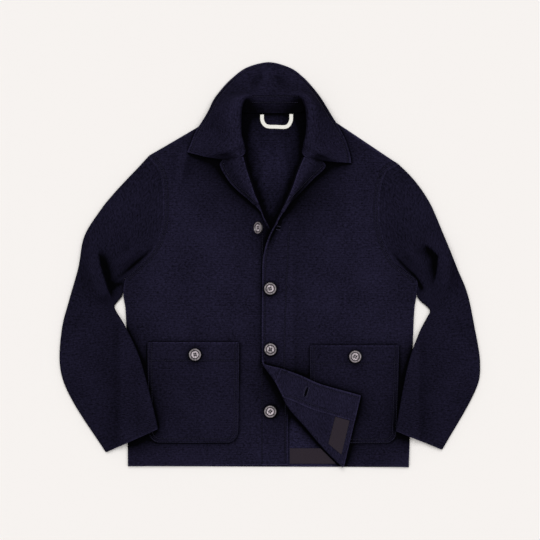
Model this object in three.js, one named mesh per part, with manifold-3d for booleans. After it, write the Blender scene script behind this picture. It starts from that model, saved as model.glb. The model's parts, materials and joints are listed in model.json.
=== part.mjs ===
// Work jacket of boiled wool, laid out flat with its front up.
// Millimetres. +X is the right of the picture, +Y runs up to the collar, +Z is up.
// The underside of the back lies at z = 0. Left and right in names are the wearer's.

import * as THREE from 'three';
import * as BufferGeometryUtils from 'three/addons/utils/BufferGeometryUtils.js';
import Module from 'manifold-3d';

const wasm = await Module();
wasm.setup();

// Driving dimensions
const CLOTH = 2.6; // wall of boiled wool
const FACING = 1.2; // wall of a facing
const TAPE = 1.0; // wall of hem tape and hanger loop
const GAP = 0.3; // between pieces that are sewn or lie on each other
const LAYER = CLOTH + GAP;
const FRONT_Z = LAYER; // underside of a front that lies on the back
const OVERLAP_Z = 2 * LAYER; // underside of the left front where it lies on the right one
const POCKET_Z = 2 * LAYER; // underside of a pocket
const BUTTON_D = 23.4; // 36 ligne
const SLEEVE_EDGE = 2.9; // half the height of a sleeve at its folded edges

// Cloth colours
const wool = (hex) => new THREE.MeshStandardMaterial({ color: hex, roughness: 0.95, metalness: 0 });
const WOOL = wool('#1f1d2c');
const WOOL_INSIDE = wool('#191624');
const TAPE_CLOTH = wool('#2e2a31');
const LOOP_CLOTH = wool('#efe9dc');
const HORN = new THREE.MeshStandardMaterial({ color: '#2b2428', roughness: 0.35, metalness: 0 });

// The middle of the outline in the tables' coordinates, which becomes the origin
const MIDDLE = new THREE.Vector2(-0.5, 2.5);

const jacket = new THREE.Group();
jacket.position.set(-MIDDLE.x, -MIDDLE.y, 0);

// A table: its first line names the columns, and each further line is a section.
function table(names, ...lines) {
  const keys = names.split(' ');
  return lines.map((line) => Object.fromEntries(keys.map((key, i) => [key, line[i]])));
}

// Smooth value of one column at a place along the table's column named at.
function follow(rows, key, at) {
  const last = rows.length - 1;
  let i = 0;
  while (i < last - 1 && at > rows[i + 1].at) i += 1;
  const [a, b] = [rows[i], rows[i + 1]];
  const before = rows[Math.max(i - 1, 0)];
  const after = rows[Math.min(i + 2, last)];
  const span = b.at - a.at;
  const f = THREE.MathUtils.clamp((at - a.at) / span, 0, 1);
  const slopeA = i > 0 ? (b[key] - before[key]) / (b.at - before.at) : (b[key] - a[key]) / span;
  const slopeB = i + 2 <= last ? (after[key] - a[key]) / (after.at - a.at) : (b[key] - a[key]) / span;
  const f2 = f * f;
  const f3 = f2 * f;
  return (2 * f3 - 3 * f2 + 1) * a[key] + (f3 - 2 * f2 + f) * span * slopeA
    + (3 * f2 - 2 * f3) * b[key] + (f3 - f2) * span * slopeB;
}

const point = (rows, name, at) => new THREE.Vector2(
  follow(rows, `${name}X`, at), follow(rows, `${name}Y`, at));
const ease = (x, low, high) => THREE.MathUtils.smoothstep(x, low, high);
const mix = (a, b, f) => a.clone().lerp(b, f);
const steps = (n) => Array.from({ length: n + 1 }, (_, i) => i / n);

// Distance from a point to an open line of points, with how far along the line it is nearest.
function nearLine(x, y, line) {
  let best = { d: Infinity, side: 0, along: 0 };
  for (let i = 0; i + 1 < line.length; i += 1) {
    const [a, b] = [line[i], line[i + 1]];
    const dx = b.x - a.x;
    const dy = b.y - a.y;
    const f = THREE.MathUtils.clamp(((x - a.x) * dx + (y - a.y) * dy) / (dx * dx + dy * dy), 0, 1);
    const ex = x - a.x - f * dx;
    const ey = y - a.y - f * dy;
    const d = Math.hypot(ex, ey);
    if (d < best.d) best = { d, side: Math.sign(dx * ey - dy * ex), along: (i + f) / (line.length - 1) };
  }
  return best;
}

// Indexed triangles of one or more grids of points, welded where the grids share points.
function weld(grids) {
  const points = [];
  const faces = [];
  const index = new Map();
  const idOf = (p) => {
    const key = [p.x, p.y, p.z].map((c) => Math.round(c * 500)).join();
    if (!index.has(key)) index.set(key, points.push(p) - 1);
    return index.get(key);
  };
  for (const grid of grids) {
    const ids = grid.map((row) => row.map(idOf));
    for (let j = 0; j + 1 < ids.length; j += 1) {
      for (let i = 0; i + 1 < ids[j].length; i += 1) {
        const [a, b, c, d] = [ids[j][i], ids[j][i + 1], ids[j + 1][i + 1], ids[j + 1][i]];
        const even = points[a].distanceTo(points[c]) <= points[b].distanceTo(points[d]);
        const pair = even ? [[a, b, c], [a, c, d]] : [[a, b, d], [b, c, d]];
        faces.push(...pair.filter(([p, q, r]) => p !== q && q !== r && p !== r));
      }
    }
  }
  return { points, faces };
}

// Closes a face sheet and its offset twin into one solid, with a rim along the free edges.
function closed(points, twins, faces) {
  const n = points.length;
  const edges = new Map();
  for (const face of faces) {
    face.forEach((a, k) => {
      const b = face[(k + 1) % 3];
      if (!edges.delete(`${b},${a}`)) edges.set(`${a},${b}`, [a, b]);
    });
  }
  const index = [];
  for (const [a, b, c] of faces) index.push(a, c, b, a + n, b + n, c + n);
  for (const [a, b] of edges.values()) index.push(a, b, b + n, a, b + n, a + n);
  const geometry = new THREE.BufferGeometry();
  geometry.setAttribute('position', new THREE.Float32BufferAttribute(
    [...points, ...twins].flatMap((p) => [p.x, p.y, p.z]), 3));
  geometry.setIndex(index);
  return turnedOut(geometry);
}

// Turns the faces round where the volume comes out negative.
function turnedOut(geometry) {
  const p = geometry.attributes.position;
  const ids = geometry.index.array;
  const [a, b, c] = [new THREE.Vector3(), new THREE.Vector3(), new THREE.Vector3()];
  let volume = 0;
  for (let i = 0; i < ids.length; i += 3) {
    a.fromBufferAttribute(p, ids[i]);
    b.fromBufferAttribute(p, ids[i + 1]);
    c.fromBufferAttribute(p, ids[i + 2]);
    volume += a.dot(b.cross(c));
  }
  if (volume < 0) {
    for (let i = 0; i < ids.length; i += 3) [ids[i + 1], ids[i + 2]] = [ids[i + 2], ids[i + 1]];
  }
  return geometry;
}

// Unit normal at each point of welded grids. A flat grid with rows down -Y has it along +Z.
function normals({ points, faces }) {
  const sum = points.map(() => new THREE.Vector3());
  for (const [a, b, c] of faces) {
    const ab = points[b].clone().sub(points[a]);
    const ac = points[c].clone().sub(points[a]);
    const n = ac.cross(ab);
    for (const id of [a, b, c]) sum[id].add(n);
  }
  return sum.map((n) => n.normalize());
}

// A cloth wall: the grids moved by start along their normals, and its twin at start + thickness.
// In a sharp bend the twin's faces would turn over, so the cloth is squeezed thinner there.
const SQUEEZE_STEP = 0.85;
const SQUEEZE_ROUNDS = 8;
const TURNED_OVER = 0.8; // cosine between a face and its twin
function wall(grids, thickness, start = 0) {
  const sheet = weld(grids);
  const out = normals(sheet);
  const share = sheet.points.map(() => 1);
  const moved = (far) => sheet.points.map(
    (p, i) => p.clone().addScaledVector(out[i], start + far * thickness * share[i]));
  for (let round = 0; round < SQUEEZE_ROUNDS; round += 1) {
    const twins = moved(1);
    for (const face of sheet.faces) {
      const [a, b] = [sheet.points, twins].map((points) => facing(face.map((id) => points[id])));
      if (a.dot(b) < TURNED_OVER) face.forEach((id) => { share[id] *= SQUEEZE_STEP; });
    }
  }
  return closed(moved(0), moved(1), sheet.faces);
}

const facing = ([a, b, c]) => c.clone().sub(a).cross(b.clone().sub(a)).normalize();

function add(name, geometry, material) {
  const mesh = new THREE.Mesh(geometry, material);
  mesh.name = name;
  jacket.add(mesh);
  return mesh;
}

// Outline of the body, shared by back, fronts and sleeves. It runs from the shoulder tip, at 0,
// down the armhole to the underarm, at 1, and down the side seam to the hem, at 2.
const SIDES = {
  right: table('at X Y',
    [0.00, -236, 215],
    [0.17, -213, 181],
    [0.38, -206, 123],
    [0.58, -211, 68],
    [0.75, -230, 27],
    [0.88, -258, -2],
    [1.00, -282, -25],
    [1.08, -286, -55],
    [1.16, -282, -82],
    [1.30, -280, -130],
    [2.00, -277, -390]),
  left: table('at X Y',
    [0.00, 249, 199],
    [0.14, 222, 181],
    [0.36, 210, 123],
    [0.56, 214, 68],
    [0.76, 236, 14],
    [0.88, 261, -8],
    [1.00, 286, -29],
    [1.08, 285, -55],
    [1.16, 281, -82],
    [1.34, 278, -144],
    [2.00, 270, -392]),
};
const ARM_STEPS = 10;

// The armhole is a line of straight chords, so that front, back and sleeve share its points.
function side(name, at) {
  if (at >= 1) return point(SIDES[name], '', at);
  const low = Math.floor(at * ARM_STEPS) / ARM_STEPS;
  const f = (at - low) * ARM_STEPS;
  return mix(point(SIDES[name], '', low), point(SIDES[name], '', low + 1 / ARM_STEPS), f);
}

// Back panel: flat, under everything, with a shallow neck curve under the collar's seam.
const NECK = table('at X Y',
  [0.0, -236, 215],
  [0.3, -100, 295],
  [0.37, -68, 314],
  [0.44, -48, 306],
  [0.5, 8, 303],
  [0.56, 62, 306],
  [0.63, 78, 312],
  [0.7, 110, 292],
  [1.0, 249, 199]);
const BACK_COLUMNS = [0, 0.03, 0.1, 0.2, 0.3, 0.37, 0.405, 0.44, 0.5, 0.56, 0.595, 0.63, 0.7, 0.8, 0.9,
  0.97, 1];
const BACK_ROWS = [...steps(ARM_STEPS), 1.08, 1.16, 1.3, 1.5, 1.75, 2];

function backGrid() {
  return BACK_ROWS.map((at) => BACK_COLUMNS.map((t) => {
    const across = mix(side('right', at), side('left', at), t);
    const top = mix(side('right', 0), side('left', 0), t);
    const neck = point(NECK, '', t).sub(top).multiplyScalar(Math.max(0, 1 - at) ** 2);
    return new THREE.Vector3(across.x + neck.x, across.y + neck.y, 0);
  }));
}
add('back', wall([backGrid()], CLOTH), WOOL_INSIDE);

// Fronts. Each section runs from the side to the fold line, round the fold and on to the free edge.
// Down to the gorge, at 0.3, the panel ends at the neckline under the collar, with no fold.
// turn is how far the cloth turns back at the fold, in degrees, and r is the roll's radius.
const GORGE = 0.3;
const FRONTS = {
  right: table('at foldX foldY edgeX edgeY edgeZ turn r lift',
    [0.00, -67, 312, -67, 312, 6, 0, 6, 3],
    [0.10, -75, 284, -75, 284, 6, 0, 6, 3],
    [0.20, -68, 248, -68, 248, 6, 0, 6, 3],
    [0.30, -49, 212, -99, 192, 11.5, 180, 8, 3],
    [0.40, -42, 185, -82, 167, 11.5, 180, 7.5, 3],
    [0.50, -34, 160, -64, 147, 11.5, 180, 7, 3],
    [0.60, -26, 135, -43, 129, 12, 180, 5.5, 3],
    [0.70, -16, 106, -18.5, 105, 12, 120, 4.5, 2],
    [0.80, -4, 72, 0, 73, 5.5, 40, 4, 1],
    [0.90, 15, 27, 23, 28, 2.9, 0, 4, 0],
    [1.00, 26, -30, 34, -30, 2.9, 0, 4, 0],
    [1.10, 26, -66, 35, -66, 2.9, 0, 4, 0],
    [2.00, 26, -388, 35, -388, 2.9, 0, 4, 0]),
  left: table('at foldX foldY edgeX edgeY edgeZ turn r lift',
    [0.00, 67, 312, 67, 312, 6, 0, 6, 3],
    [0.10, 80, 283, 80, 283, 6, 0, 6, 3],
    [0.20, 78, 248, 78, 248, 6, 0, 6, 3],
    [0.30, 62, 212, 108, 192, 11.5, 180, 8, 3],
    [0.40, 51, 184, 86, 171, 11.5, 180, 7.5, 3],
    [0.50, 41, 154, 63, 147, 11.5, 180, 7, 4],
    [0.60, 27, 121, 36, 117, 15, 180, 6, 5.5],
    [0.70, 12, 88, 15, 87, 19, 160, 5, 6.5],
    [0.80, -3, 54, -4, 54.5, 15, 90, 5, 6.5],
    [0.90, -7, 20, -14, 18, 7.5, 0, 5, 3],
    [1.00, -8, -33, -16, -33, 5.8, 0, 5, 0],
    [1.42, -8.5, -178, -16.5, -178, 5.8, 0, 5, 0],
    [1.46, -15, -189, -14.5, -188.5, 12.5, 90, 4.5, 0],
    [1.50, -8, -202, 2, -194, 15, 150, 4.7, 0],
    [1.56, 6, -222, 20, -198, 15.2, 180, 5, 0],
    [1.64, 33, -273, 56, -211, 14, 180, 5.3, 0],
    [1.76, 68, -314, 95, -228, 13, 180, 5.3, 0],
    [1.88, 103, -355, 136, -240, 13, 180, 5.3, 0],
    [2.00, 140, -392, 176, -251, 13.5, 180, 5.3, 0]),
};
const UNDER_EDGE_X = 35; // free edge of the right front, below the opening
const CLIMB_LOW_X = UNDER_EDGE_X + 3; // the left front comes down from the right one between these
const CLIMB_HIGH_X = UNDER_EDGE_X + 15;
const CLIMB_TOP_Y = [60, 90]; // the left front's climb fades out between these
const RISE = 60; // how far from the fold a panel starts to rise to it

// Height of a front's underside. The left one climbs over the right one's free edge.
function frontZ(name, p, fromFold, lift) {
  const rise = lift * (1 - ease(fromFold, 0, RISE));
  if (name === 'right') return FRONT_Z + rise;
  const climb = LAYER * (1 - ease(p.x, CLIMB_LOW_X, CLIMB_HIGH_X)) * (1 - ease(p.y, ...CLIMB_TOP_Y));
  return FRONT_Z + Math.max(rise, climb);
}

// Unit vector in plan at right angles to the fold line, pointing into the panel.
const BESIDE = 0.02; // how far along the fold its direction is taken
function intoPanel(name, at) {
  const rows = FRONTS[name];
  const up = point(rows, 'fold', Math.max(at - BESIDE, GORGE));
  const down = point(rows, 'fold', Math.min(at + BESIDE, 2));
  const along = down.sub(up).normalize();
  return name === 'left' ? new THREE.Vector2(-along.y, along.x) : new THREE.Vector2(along.y, -along.x);
}

const ARC = 5; // points round the fold
const BEYOND = 4; // and from there to the free edge
const BEND_SHARE = [0.5, 0.56]; // least and most of a turned section that its first points take
const LEVEL_ENDS = 0.5; // how level a turned section leaves the fold and meets its edge
const FAR = [0, 0.05, 0.2, 0.4, 0.6, 0.8]; // panel points away from the fold, as shares of the rest
const NEAR_RIGHT = [0, 12, 26, 42, 58];

// Points of the panel by their distance from the fold, with two where the left front climbs.
function nearFold(name, startX) {
  if (name === 'right') return NEAR_RIGHT;
  const climb = CLIMB_HIGH_X - CLIMB_LOW_X;
  const low = Math.max(CLIMB_LOW_X - startX, climb);
  return [0, low / 3, low * 2 / 3, low, low + climb];
}

// One section of a front: the panel's points, then the points round the fold to the edge.
const TINY = 1e-6;
function frontSection(name, at) {
  const rows = FRONTS[name];
  const fold = point(rows, 'fold', at);
  const turn = THREE.MathUtils.degToRad(Math.max(0, follow(rows, 'turn', at)));
  const r = follow(rows, 'r', at);
  const lift = Math.max(0, follow(rows, 'lift', at));
  const inward = intoPanel(name, at);
  const folded = at >= GORGE - TINY;
  const start = fold.clone();
  if (folded) start.addScaledVector(inward, r * Math.sin(Math.min(turn, Math.PI / 2)));
  const outer = side(name, at);
  const width = outer.distanceTo(start);
  const near = nearFold(name, start.x);
  const rest = 1 - near.at(-1) / width;
  const columns = [...FAR.map((t) => t * rest), ...near.map((d) => 1 - d / width).reverse()];
  const panel = columns.map((t) => {
    const p = mix(outer, start, t);
    return new THREE.Vector3(p.x, p.y, frontZ(name, p, p.distanceTo(start), lift));
  });
  if (!folded) return { panel, band: [] };
  const startZ = panel.at(-1).z;
  const edge = point(rows, 'edge', at);
  const edgeZ = Math.max(follow(rows, 'edgeZ', at), frontZ(name, edge, 0, lift * Math.cos(turn / 2)));
  const place = (theta) => new THREE.Vector3(
    start.x - inward.x * r * Math.sin(theta),
    start.y - inward.y * r * Math.sin(theta),
    startZ + r * (1 - Math.cos(theta)));
  const arcEnd = place(turn);
  const tip = new THREE.Vector3(edge.x, edge.y, edgeZ);
  const arcLength = r * turn;
  const total = arcLength + arcEnd.distanceTo(tip);
  const [least, most] = BEND_SHARE.map((f) => f * total);
  const bendShare = THREE.MathUtils.clamp(arcLength, least, most);
  const distances = [
    ...steps(ARC).map((f) => f * bendShare),
    ...steps(BEYOND).slice(1).map((f) => bendShare + f * (total - bendShare)),
  ];
  const band = distances.map((s) => {
    if (s <= arcLength && arcLength > 0) return place(s / r);
    const f = (s - arcLength) / (total - arcLength);
    const soft = f - LEVEL_ENDS * Math.sin(2 * Math.PI * f) / (2 * Math.PI) * Math.min(turn, 1);
    const p = arcEnd.clone().lerp(tip, f);
    p.z = THREE.MathUtils.lerp(arcEnd.z, tip.z, soft);
    return p;
  });
  return { panel, band };
}

const FRONT_ROWS = {
  right: [...steps(10), 0.35, 0.45, 0.55, 0.65, 0.75, 0.85, 1.08, 1.16, 1.3, 1.5, 1.75, 2],
  left: [...steps(10), 0.35, 0.45, 0.55, 0.65, 0.75, 0.85, 1.08, 1.16, 1.26, 1.36, 1.42, 1.44, 1.46,
    1.48, 1.5, 1.53, 1.56, 1.6, 1.64, 1.7, 1.76, 1.82, 1.886, 1.93, 1.974, 2],
};

function frontSections(name) {
  const rows = FRONT_ROWS[name].sort((a, b) => a - b);
  return rows.map((at) => ({ at, ...frontSection(name, at) }));
}

// The picture's right side is the wearer's left, so its grid is mirrored to keep normals up.
const facingUp = (name, grid) => (name === 'left' ? grid.map((row) => [...row].reverse()) : grid);

function front(name) {
  const sections = frontSections(name);
  const panel = sections.map((s) => s.panel);
  const band = sections.filter((s) => s.band.length).map((s) => s.band);
  add(`front_${name}`, wall([facingUp(name, panel), facingUp(name, band)], CLOTH), WOOL);
  return sections.filter((s) => s.band.length);
}
const bands = { right: front('right'), left: front('left') };

// Collar: stand and fall in one rolled piece. Sections run round the neck from the right front's
// notch to the left front's. seam lies on the neckline, fold is the roll, edge the fall's edge.
// crown is how far the roll rises above the fold.
const COLLAR = table('at seamX seamY seamZ foldX foldY foldZ edgeX edgeY edgeZ crown',
  [0, -95, 205, 12, -127, 213, 10, -162, 221, 6.2, 0],
  [1, -73, 209, 17.5, -95, 217, 15, -156, 234, 6.2, 1],
  [2, -54, 215, 19.5, -70, 222, 20.5, -150, 250, 6.2, 1],
  [3, -50, 225, 15, -54, 234, 21, -143, 265, 6.2, 3],
  [4, -66, 248, 11, -57.5, 254, 22, -133, 280, 6.2, 4],
  [5, -72, 269, 11, -58, 277, 23, -125, 292.5, 6.2, 5],
  [6, -72, 290, 11, -57, 302, 23, -118, 305, 6, 5],
  [7, -66, 305, 10, -51, 322, 21, -110, 322, 4, 4],
  [8, -53, 300, 5.5, -40, 328, 16, -96, 342, 2, 3],
  [9, -37, 298.5, 3.2, -28, 327, 12, -76, 364, 1, 1],
  [10, -18, 298, 3.2, -13, 326, 9, -45, 387, 0.5, 0],
  [11, 3.5, 298, 3.2, 3.5, 326, 8, -2, 397, 0.5, 0],
  [12, 25, 298, 3.2, 20, 326, 9, 39, 386, 0.5, 0],
  [13, 44.5, 298.5, 3.2, 35, 327.5, 12, 64, 367.5, 1, 1],
  [14, 60, 300, 5.5, 49, 329.5, 16, 81.5, 348, 2, 3],
  [15, 73, 305, 10, 62, 325, 21, 96, 328.5, 4, 4],
  [16, 80, 290.5, 11, 70, 306, 23, 109, 308, 6, 5],
  [17, 83, 269, 11, 72, 281, 23, 118.5, 292.5, 6.2, 5],
  [18, 80, 248, 11, 71, 256, 22, 130, 275, 6.2, 4],
  [19, 64, 225, 15, 68, 234, 21, 140, 257.5, 6.2, 3],
  [20, 67, 215, 19.5, 84, 221, 20.5, 148, 240, 6.2, 1],
  [21, 84, 211, 17.5, 103, 213, 15, 154.5, 218.5, 6.2, 1],
  [22, 98.5, 205, 12, 127, 203, 10, 157.5, 200, 6.2, 0]);
const ROLL_WIDTH = 7;
const FALL_CROWN = 0.6; // share of the roll's crown that is left half way to the edge
const COLLAR_STEPS = 8;
const COLLAR_STOPS = 36;

function collarSection(at) {
  const spot = (name) => new THREE.Vector3(
    ...['X', 'Y', 'Z'].map((axis) => follow(COLLAR, name + axis, at)));
  const [seam, fold, edge] = ['seam', 'fold', 'edge'].map(spot);
  const crown = fold.clone().add(edge.clone().sub(fold).setZ(0).setLength(ROLL_WIDTH));
  crown.z = fold.z + follow(COLLAR, 'crown', at);
  const middle = mix(crown, edge, 0.5);
  middle.z += FALL_CROWN * follow(COLLAR, 'crown', at);
  const path = new THREE.CatmullRomCurve3([seam, fold, crown, middle, edge], false, 'centripetal');
  return steps(COLLAR_STEPS).map((t) => path.getPoint(t));
}
const collarStops = steps(COLLAR_STOPS).map((f) => (COLLAR.length - 1) * f);
add('collar', wall([collarStops.map(collarSection)], CLOTH), WOOL);

// Sleeves: flattened tubes. Each section crosses from the outer fold to the inner one, and bow is
// how much of the armhole's curve it keeps. The first ones fan out from the underarm.
const SLEEVES = {
  right: table('at outX outY inX inY bow',
    [0, -236, 215, -282.6, -25, 1],
    [1, -257, 192, -282.6, -25, 0.7],
    [2, -280, 168, -282.6, -25, 0.45],
    [3, -303, 143, -287.5, -34, 0.25],
    [4, -327, 114, -292, -53, 0.12],
    [6, -362, 58, -300, -73, 0],
    [8, -374, -4, -303, -80, 0],
    [9.5, -391, -64, -298, -91, 0],
    [11, -406, -123, -282, -116, 0],
    [13, -409, -199, -255, -174, 0],
    [15, -386, -261, -236, -238, 0],
    [18, -320, -363, -217, -316, 0]),
  left: table('at outX outY inX inY bow',
    [0, 249, 199, 286.6, -29, 1],
    [1, 267, 182, 286.6, -29, 0.7],
    [2, 284, 163, 286.6, -29, 0.45],
    [3, 300, 141, 291, -38, 0.25],
    [4, 315, 115, 295, -57, 0.12],
    [6, 339, 58, 306, -80, 0],
    [8, 365, -6, 311, -89, 0],
    [9.5, 384, -53, 305, -101, 0],
    [11, 397, -113, 290, -129, 0],
    [13, 409, -190, 272, -176, 0],
    [15, 399, -244, 259, -232, 0],
    [18, 335, -358, 243, -320, 0]),
};
const FAN_END = 3; // the first section that ends past the underarm

// The tuck at each elbow, where the forearm lies over the upper sleeve
const TUCKS = {
  right: [[-336, 39], [-328, 0], [-315, -41], [-305, -70]],
  left: [[289, 49], [311, 33], [325, 19], [322, -14], [311, -62]],
};
const PUFF = 3.2; // how much a sleeve's upper layer stands off the lower one
const PUFF_FROM = [0, 3]; // it starts at the armhole and is full at this section
const ARMHOLE_GAP = 1.4 * GAP; // the armhole curves, so its chords need more
const EDGE_POINT = 0.3; // share of a folded edge's round where it takes a point of its own
const INNER_STEP = 0.25; // keeps the inside's points apart where they crowd at a folded edge
const LEAST_HOLLOW = 0.12; // half the inside's height at a folded edge
const TUCK_HEIGHT = 5;
const TUCK_LIP = [-3, 5]; // the forearm rises across the tuck's line between these
const TUCK_END = [8, 60]; // and comes down again between these
const TUCK_TROUGH = { from: -6, width: 14 }; // where the upper sleeve is drawn in beside the tuck
const TUCK_FADES = [0, 0.3, 0.92, 1]; // shares of its line where it fades in and out
const OVER_FRONT = FRONT_Z + CLOTH + 2 * GAP;
const OVER_POCKET = LAYER + 0.4;
const BODY_SIDE = { right: -278, left: 275 }; // side seams, where a sleeve climbs on to the body
const BODY_CLIMB = [26, 4]; // outside the seam
const POCKET_CLIMB = [20, 4]; // outside the pocket's edge
const CLIMB_FROM_Y = [-100, -70]; // both climbs fade out between these, towards the underarm
const POCKETS = {
  right: { low: [-237, -62], high: [-239, -60], top: -148, bottom: -344 },
  left: { low: [78, 246], high: [77, 251], top: -154, bottom: -345 },
};
const POCKET_CORNER = 23;
const POCKET_BULGE = 0.8;

// Height of the lower layer: it climbs over the front and pocket, and the forearm over the tuck.
function sleeveLift(name, x, y) {
  const mirror = name === 'right' ? 1 : -1;
  const bodySide = mirror * BODY_SIDE[name];
  const pocketSide = mirror * (name === 'right' ? POCKETS.right.high[0] : POCKETS.left.high[1]);
  const below = 1 - ease(y, ...CLIMB_FROM_Y);
  const climb = (edge, [first, last]) => ease(mirror * x, edge - first, edge - last) * below;
  const overFront = OVER_FRONT * climb(bodySide, BODY_CLIMB);
  const overPocket = OVER_POCKET * climb(pocketSide, POCKET_CLIMB);
  const line = TUCKS[name].map(([px, py]) => new THREE.Vector2(px, py));
  const { d, side: hand, along } = nearLine(x, y, line);
  const s = -mirror * hand * d;
  const fade = ease(along, TUCK_FADES[0], TUCK_FADES[1]) * (1 - ease(along, TUCK_FADES[2], TUCK_FADES[3]));
  const tuck = TUCK_HEIGHT * ease(s, ...TUCK_LIP) * (1 - ease(s, ...TUCK_END)) * fade;
  const dip = fade * (1 - ease(Math.abs(s - TUCK_TROUGH.from), 0, TUCK_TROUGH.width));
  return { z: overFront + overPocket + tuck, dip };
}

// Sine of the angle at which a section meets the sleeve's inner fold
const MIN_SLANT = 0.35;
const NEAR_FOLD = 0.95; // share of a section where its direction is taken
function innerSlant(name, at, across) {
  const rows = SLEEVES[name];
  if (at < FAN_END) return 1;
  const last = rows.at(-1).at;
  const fold = point(rows, 'in', Math.min(at + 0.5, last)).sub(point(rows, 'in', at - 0.5));
  const section = across(1).sub(across(NEAR_FOLD));
  return Math.max(Math.abs(fold.normalize().cross(section.normalize())), MIN_SLANT);
}

// One section: its outside from the outer fold over the top and back below, and the inside likewise.
function sleeveSection(name, at) {
  const rows = SLEEVES[name];
  const [out, inn, bow] = [point(rows, 'out', at), point(rows, 'in', at), follow(rows, 'bow', at)];
  const width = out.distanceTo(inn);
  const away = name === 'right' ? -1 : 1;
  const across = (t) => {
    const p = mix(out, inn, t);
    if (bow <= 0) return p;
    const arm = side(name, t);
    const arc = arm.sub(mix(side(name, 0), side(name, 1), t)).multiplyScalar(bow);
    p.add(arc);
    if (at === 0) {
      const along = side(name, Math.min(t + 0.05, 1)).sub(side(name, Math.max(t - 0.05, 0)));
      p.add(new THREE.Vector2(-along.y, along.x).setLength(ARMHOLE_GAP * away));
    }
    return p;
  };
  const slant = innerSlant(name, at, across);
  const round = SLEEVE_EDGE / width;
  const inner = CLOTH / width;
  const endRound = round / slant;
  const stops = [0, EDGE_POINT * round, round, ...steps(ARM_STEPS).slice(1, -1),
    1 - endRound, 1 - EDGE_POINT * endRound, 1];
  const puff = PUFF * ease(at, ...PUFF_FROM);
  const outside = [];
  const inside = [];
  const place = (t, z) => {
    const p = across(t);
    return new THREE.Vector3(p.x, p.y, z);
  };
  const layer = (t, sign) => {
    const edgeD = Math.min(t, (1 - t) * slant) * width;
    const bend = Math.min(edgeD / SLEEVE_EDGE, 1);
    const half = SLEEVE_EDGE * Math.sqrt(1 - (1 - bend) ** 2);
    const p = across(t);
    const { z: lift, dip } = sleeveLift(name, p.x, p.y);
    const swell = sign > 0 ? puff * Math.sqrt(Math.sin(Math.PI * t)) * (1 - dip) * bend : 0;
    const middle = lift + SLEEVE_EDGE;
    outside.push(place(t, middle + sign * half + swell));
    const tIn = THREE.MathUtils.clamp(t, inner + INNER_STEP * t, 1 - inner / slant - INNER_STEP * (1 - t));
    const innerHalf = Math.max(half - CLOTH, LEAST_HOLLOW * bend);
    inside.push(place(bend < 1 ? tIn : t, middle + sign * innerHalf + swell));
  };
  stops.forEach((t) => layer(t, 1));
  stops.slice(1, -1).reverse().forEach((t) => layer(t, -1));
  return { outside: [...outside, outside[0]], inside: [...inside, inside[0]] };
}

// A solid between two matching grids that close round on themselves.
function tube(sections) {
  const outer = weld([sections.map((s) => s.outside)]);
  const twins = new Map();
  sections.forEach((s) => s.outside.forEach((p, i) => {
    if (outer.points.includes(p)) twins.set(p, s.inside[i]);
  }));
  return closed(outer.points, outer.points.map((p) => twins.get(p)), outer.faces);
}
for (const name of ['right', 'left']) {
  const cuff = SLEEVES[name].at(-1).at;
  const stops = steps(cuff).map((f) => Math.round(f * cuff));
  add(`sleeve_${name}`, tube(stops.map((at) => sleeveSection(name, at))), WOOL);
}

// Where the left front's turned-up corner is folded, at a height
const CORNER = 1.56; // the turned-up corner lies flat from here down
function foldXAt(y) {
  const rows = FRONTS.left.filter(({ at }) => at >= CORNER);
  let i = 0;
  while (i < rows.length - 2 && y < rows[i + 1].foldY) i += 1;
  const f = (rows[i].foldY - y) / (rows[i].foldY - rows[i + 1].foldY);
  return THREE.MathUtils.lerp(rows[i].foldX, rows[i + 1].foldX, f);
}

// Patch pockets, with rounded lower corners. The left one keeps clear of the fold, under the flap.
const POCKET_FROM_FOLD = 12;
const POCKET_COLUMNS = 8;
const POCKET_ROWS = [0, 0.06, 0.2, 0.4, 0.6, 0.78, 0.885, 0.93, 0.965, 0.99, 1];
function pocketGrid({ low, high, top, bottom }, foldX) {
  return POCKET_ROWS.map((f) => {
    const y = THREE.MathUtils.lerp(top, bottom, f);
    const over = Math.max(0, POCKET_CORNER - (y - bottom));
    const inset = POCKET_CORNER - Math.sqrt(POCKET_CORNER ** 2 - over ** 2);
    const cut = foldX === undefined ? -Infinity : foldX(y) + POCKET_FROM_FOLD;
    const left = Math.max(THREE.MathUtils.lerp(high[0], low[0], f) + inset, cut);
    const right = THREE.MathUtils.lerp(high[1], low[1], f) - inset;
    return steps(POCKET_COLUMNS).map((t) => {
      const bulge = POCKET_BULGE * Math.sin(Math.PI * t) * Math.sin(Math.PI * f);
      return new THREE.Vector3(THREE.MathUtils.lerp(left, right, t), y, POCKET_Z + bulge);
    });
  });
}
add('pocket_right', wall([pocketGrid(POCKETS.right)], CLOTH), WOOL);
add('pocket_left', wall([pocketGrid(POCKETS.left, foldXAt)], CLOTH), WOOL);

// Facings and hem tape lie on the inside face of a turned front, made from its own points.
const LAPEL_END = 0.65;
const FACING_WIDTH = 52;
const HEM_TAPE = [1.886, 1.93, 1.974]; // sections of the turned-up corner that the tape covers
const PATCH_STEPS = 3;

function lapelFacing(name) {
  const grid = bands[name].filter(({ at }) => at <= LAPEL_END).map(({ band }) => band.slice(ARC - 1));
  add(`facing_${name}_lapel`, wall([facingUp(name, grid)], -FACING, -GAP), WOOL);
}
lapelFacing('right');
lapelFacing('left');

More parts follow.
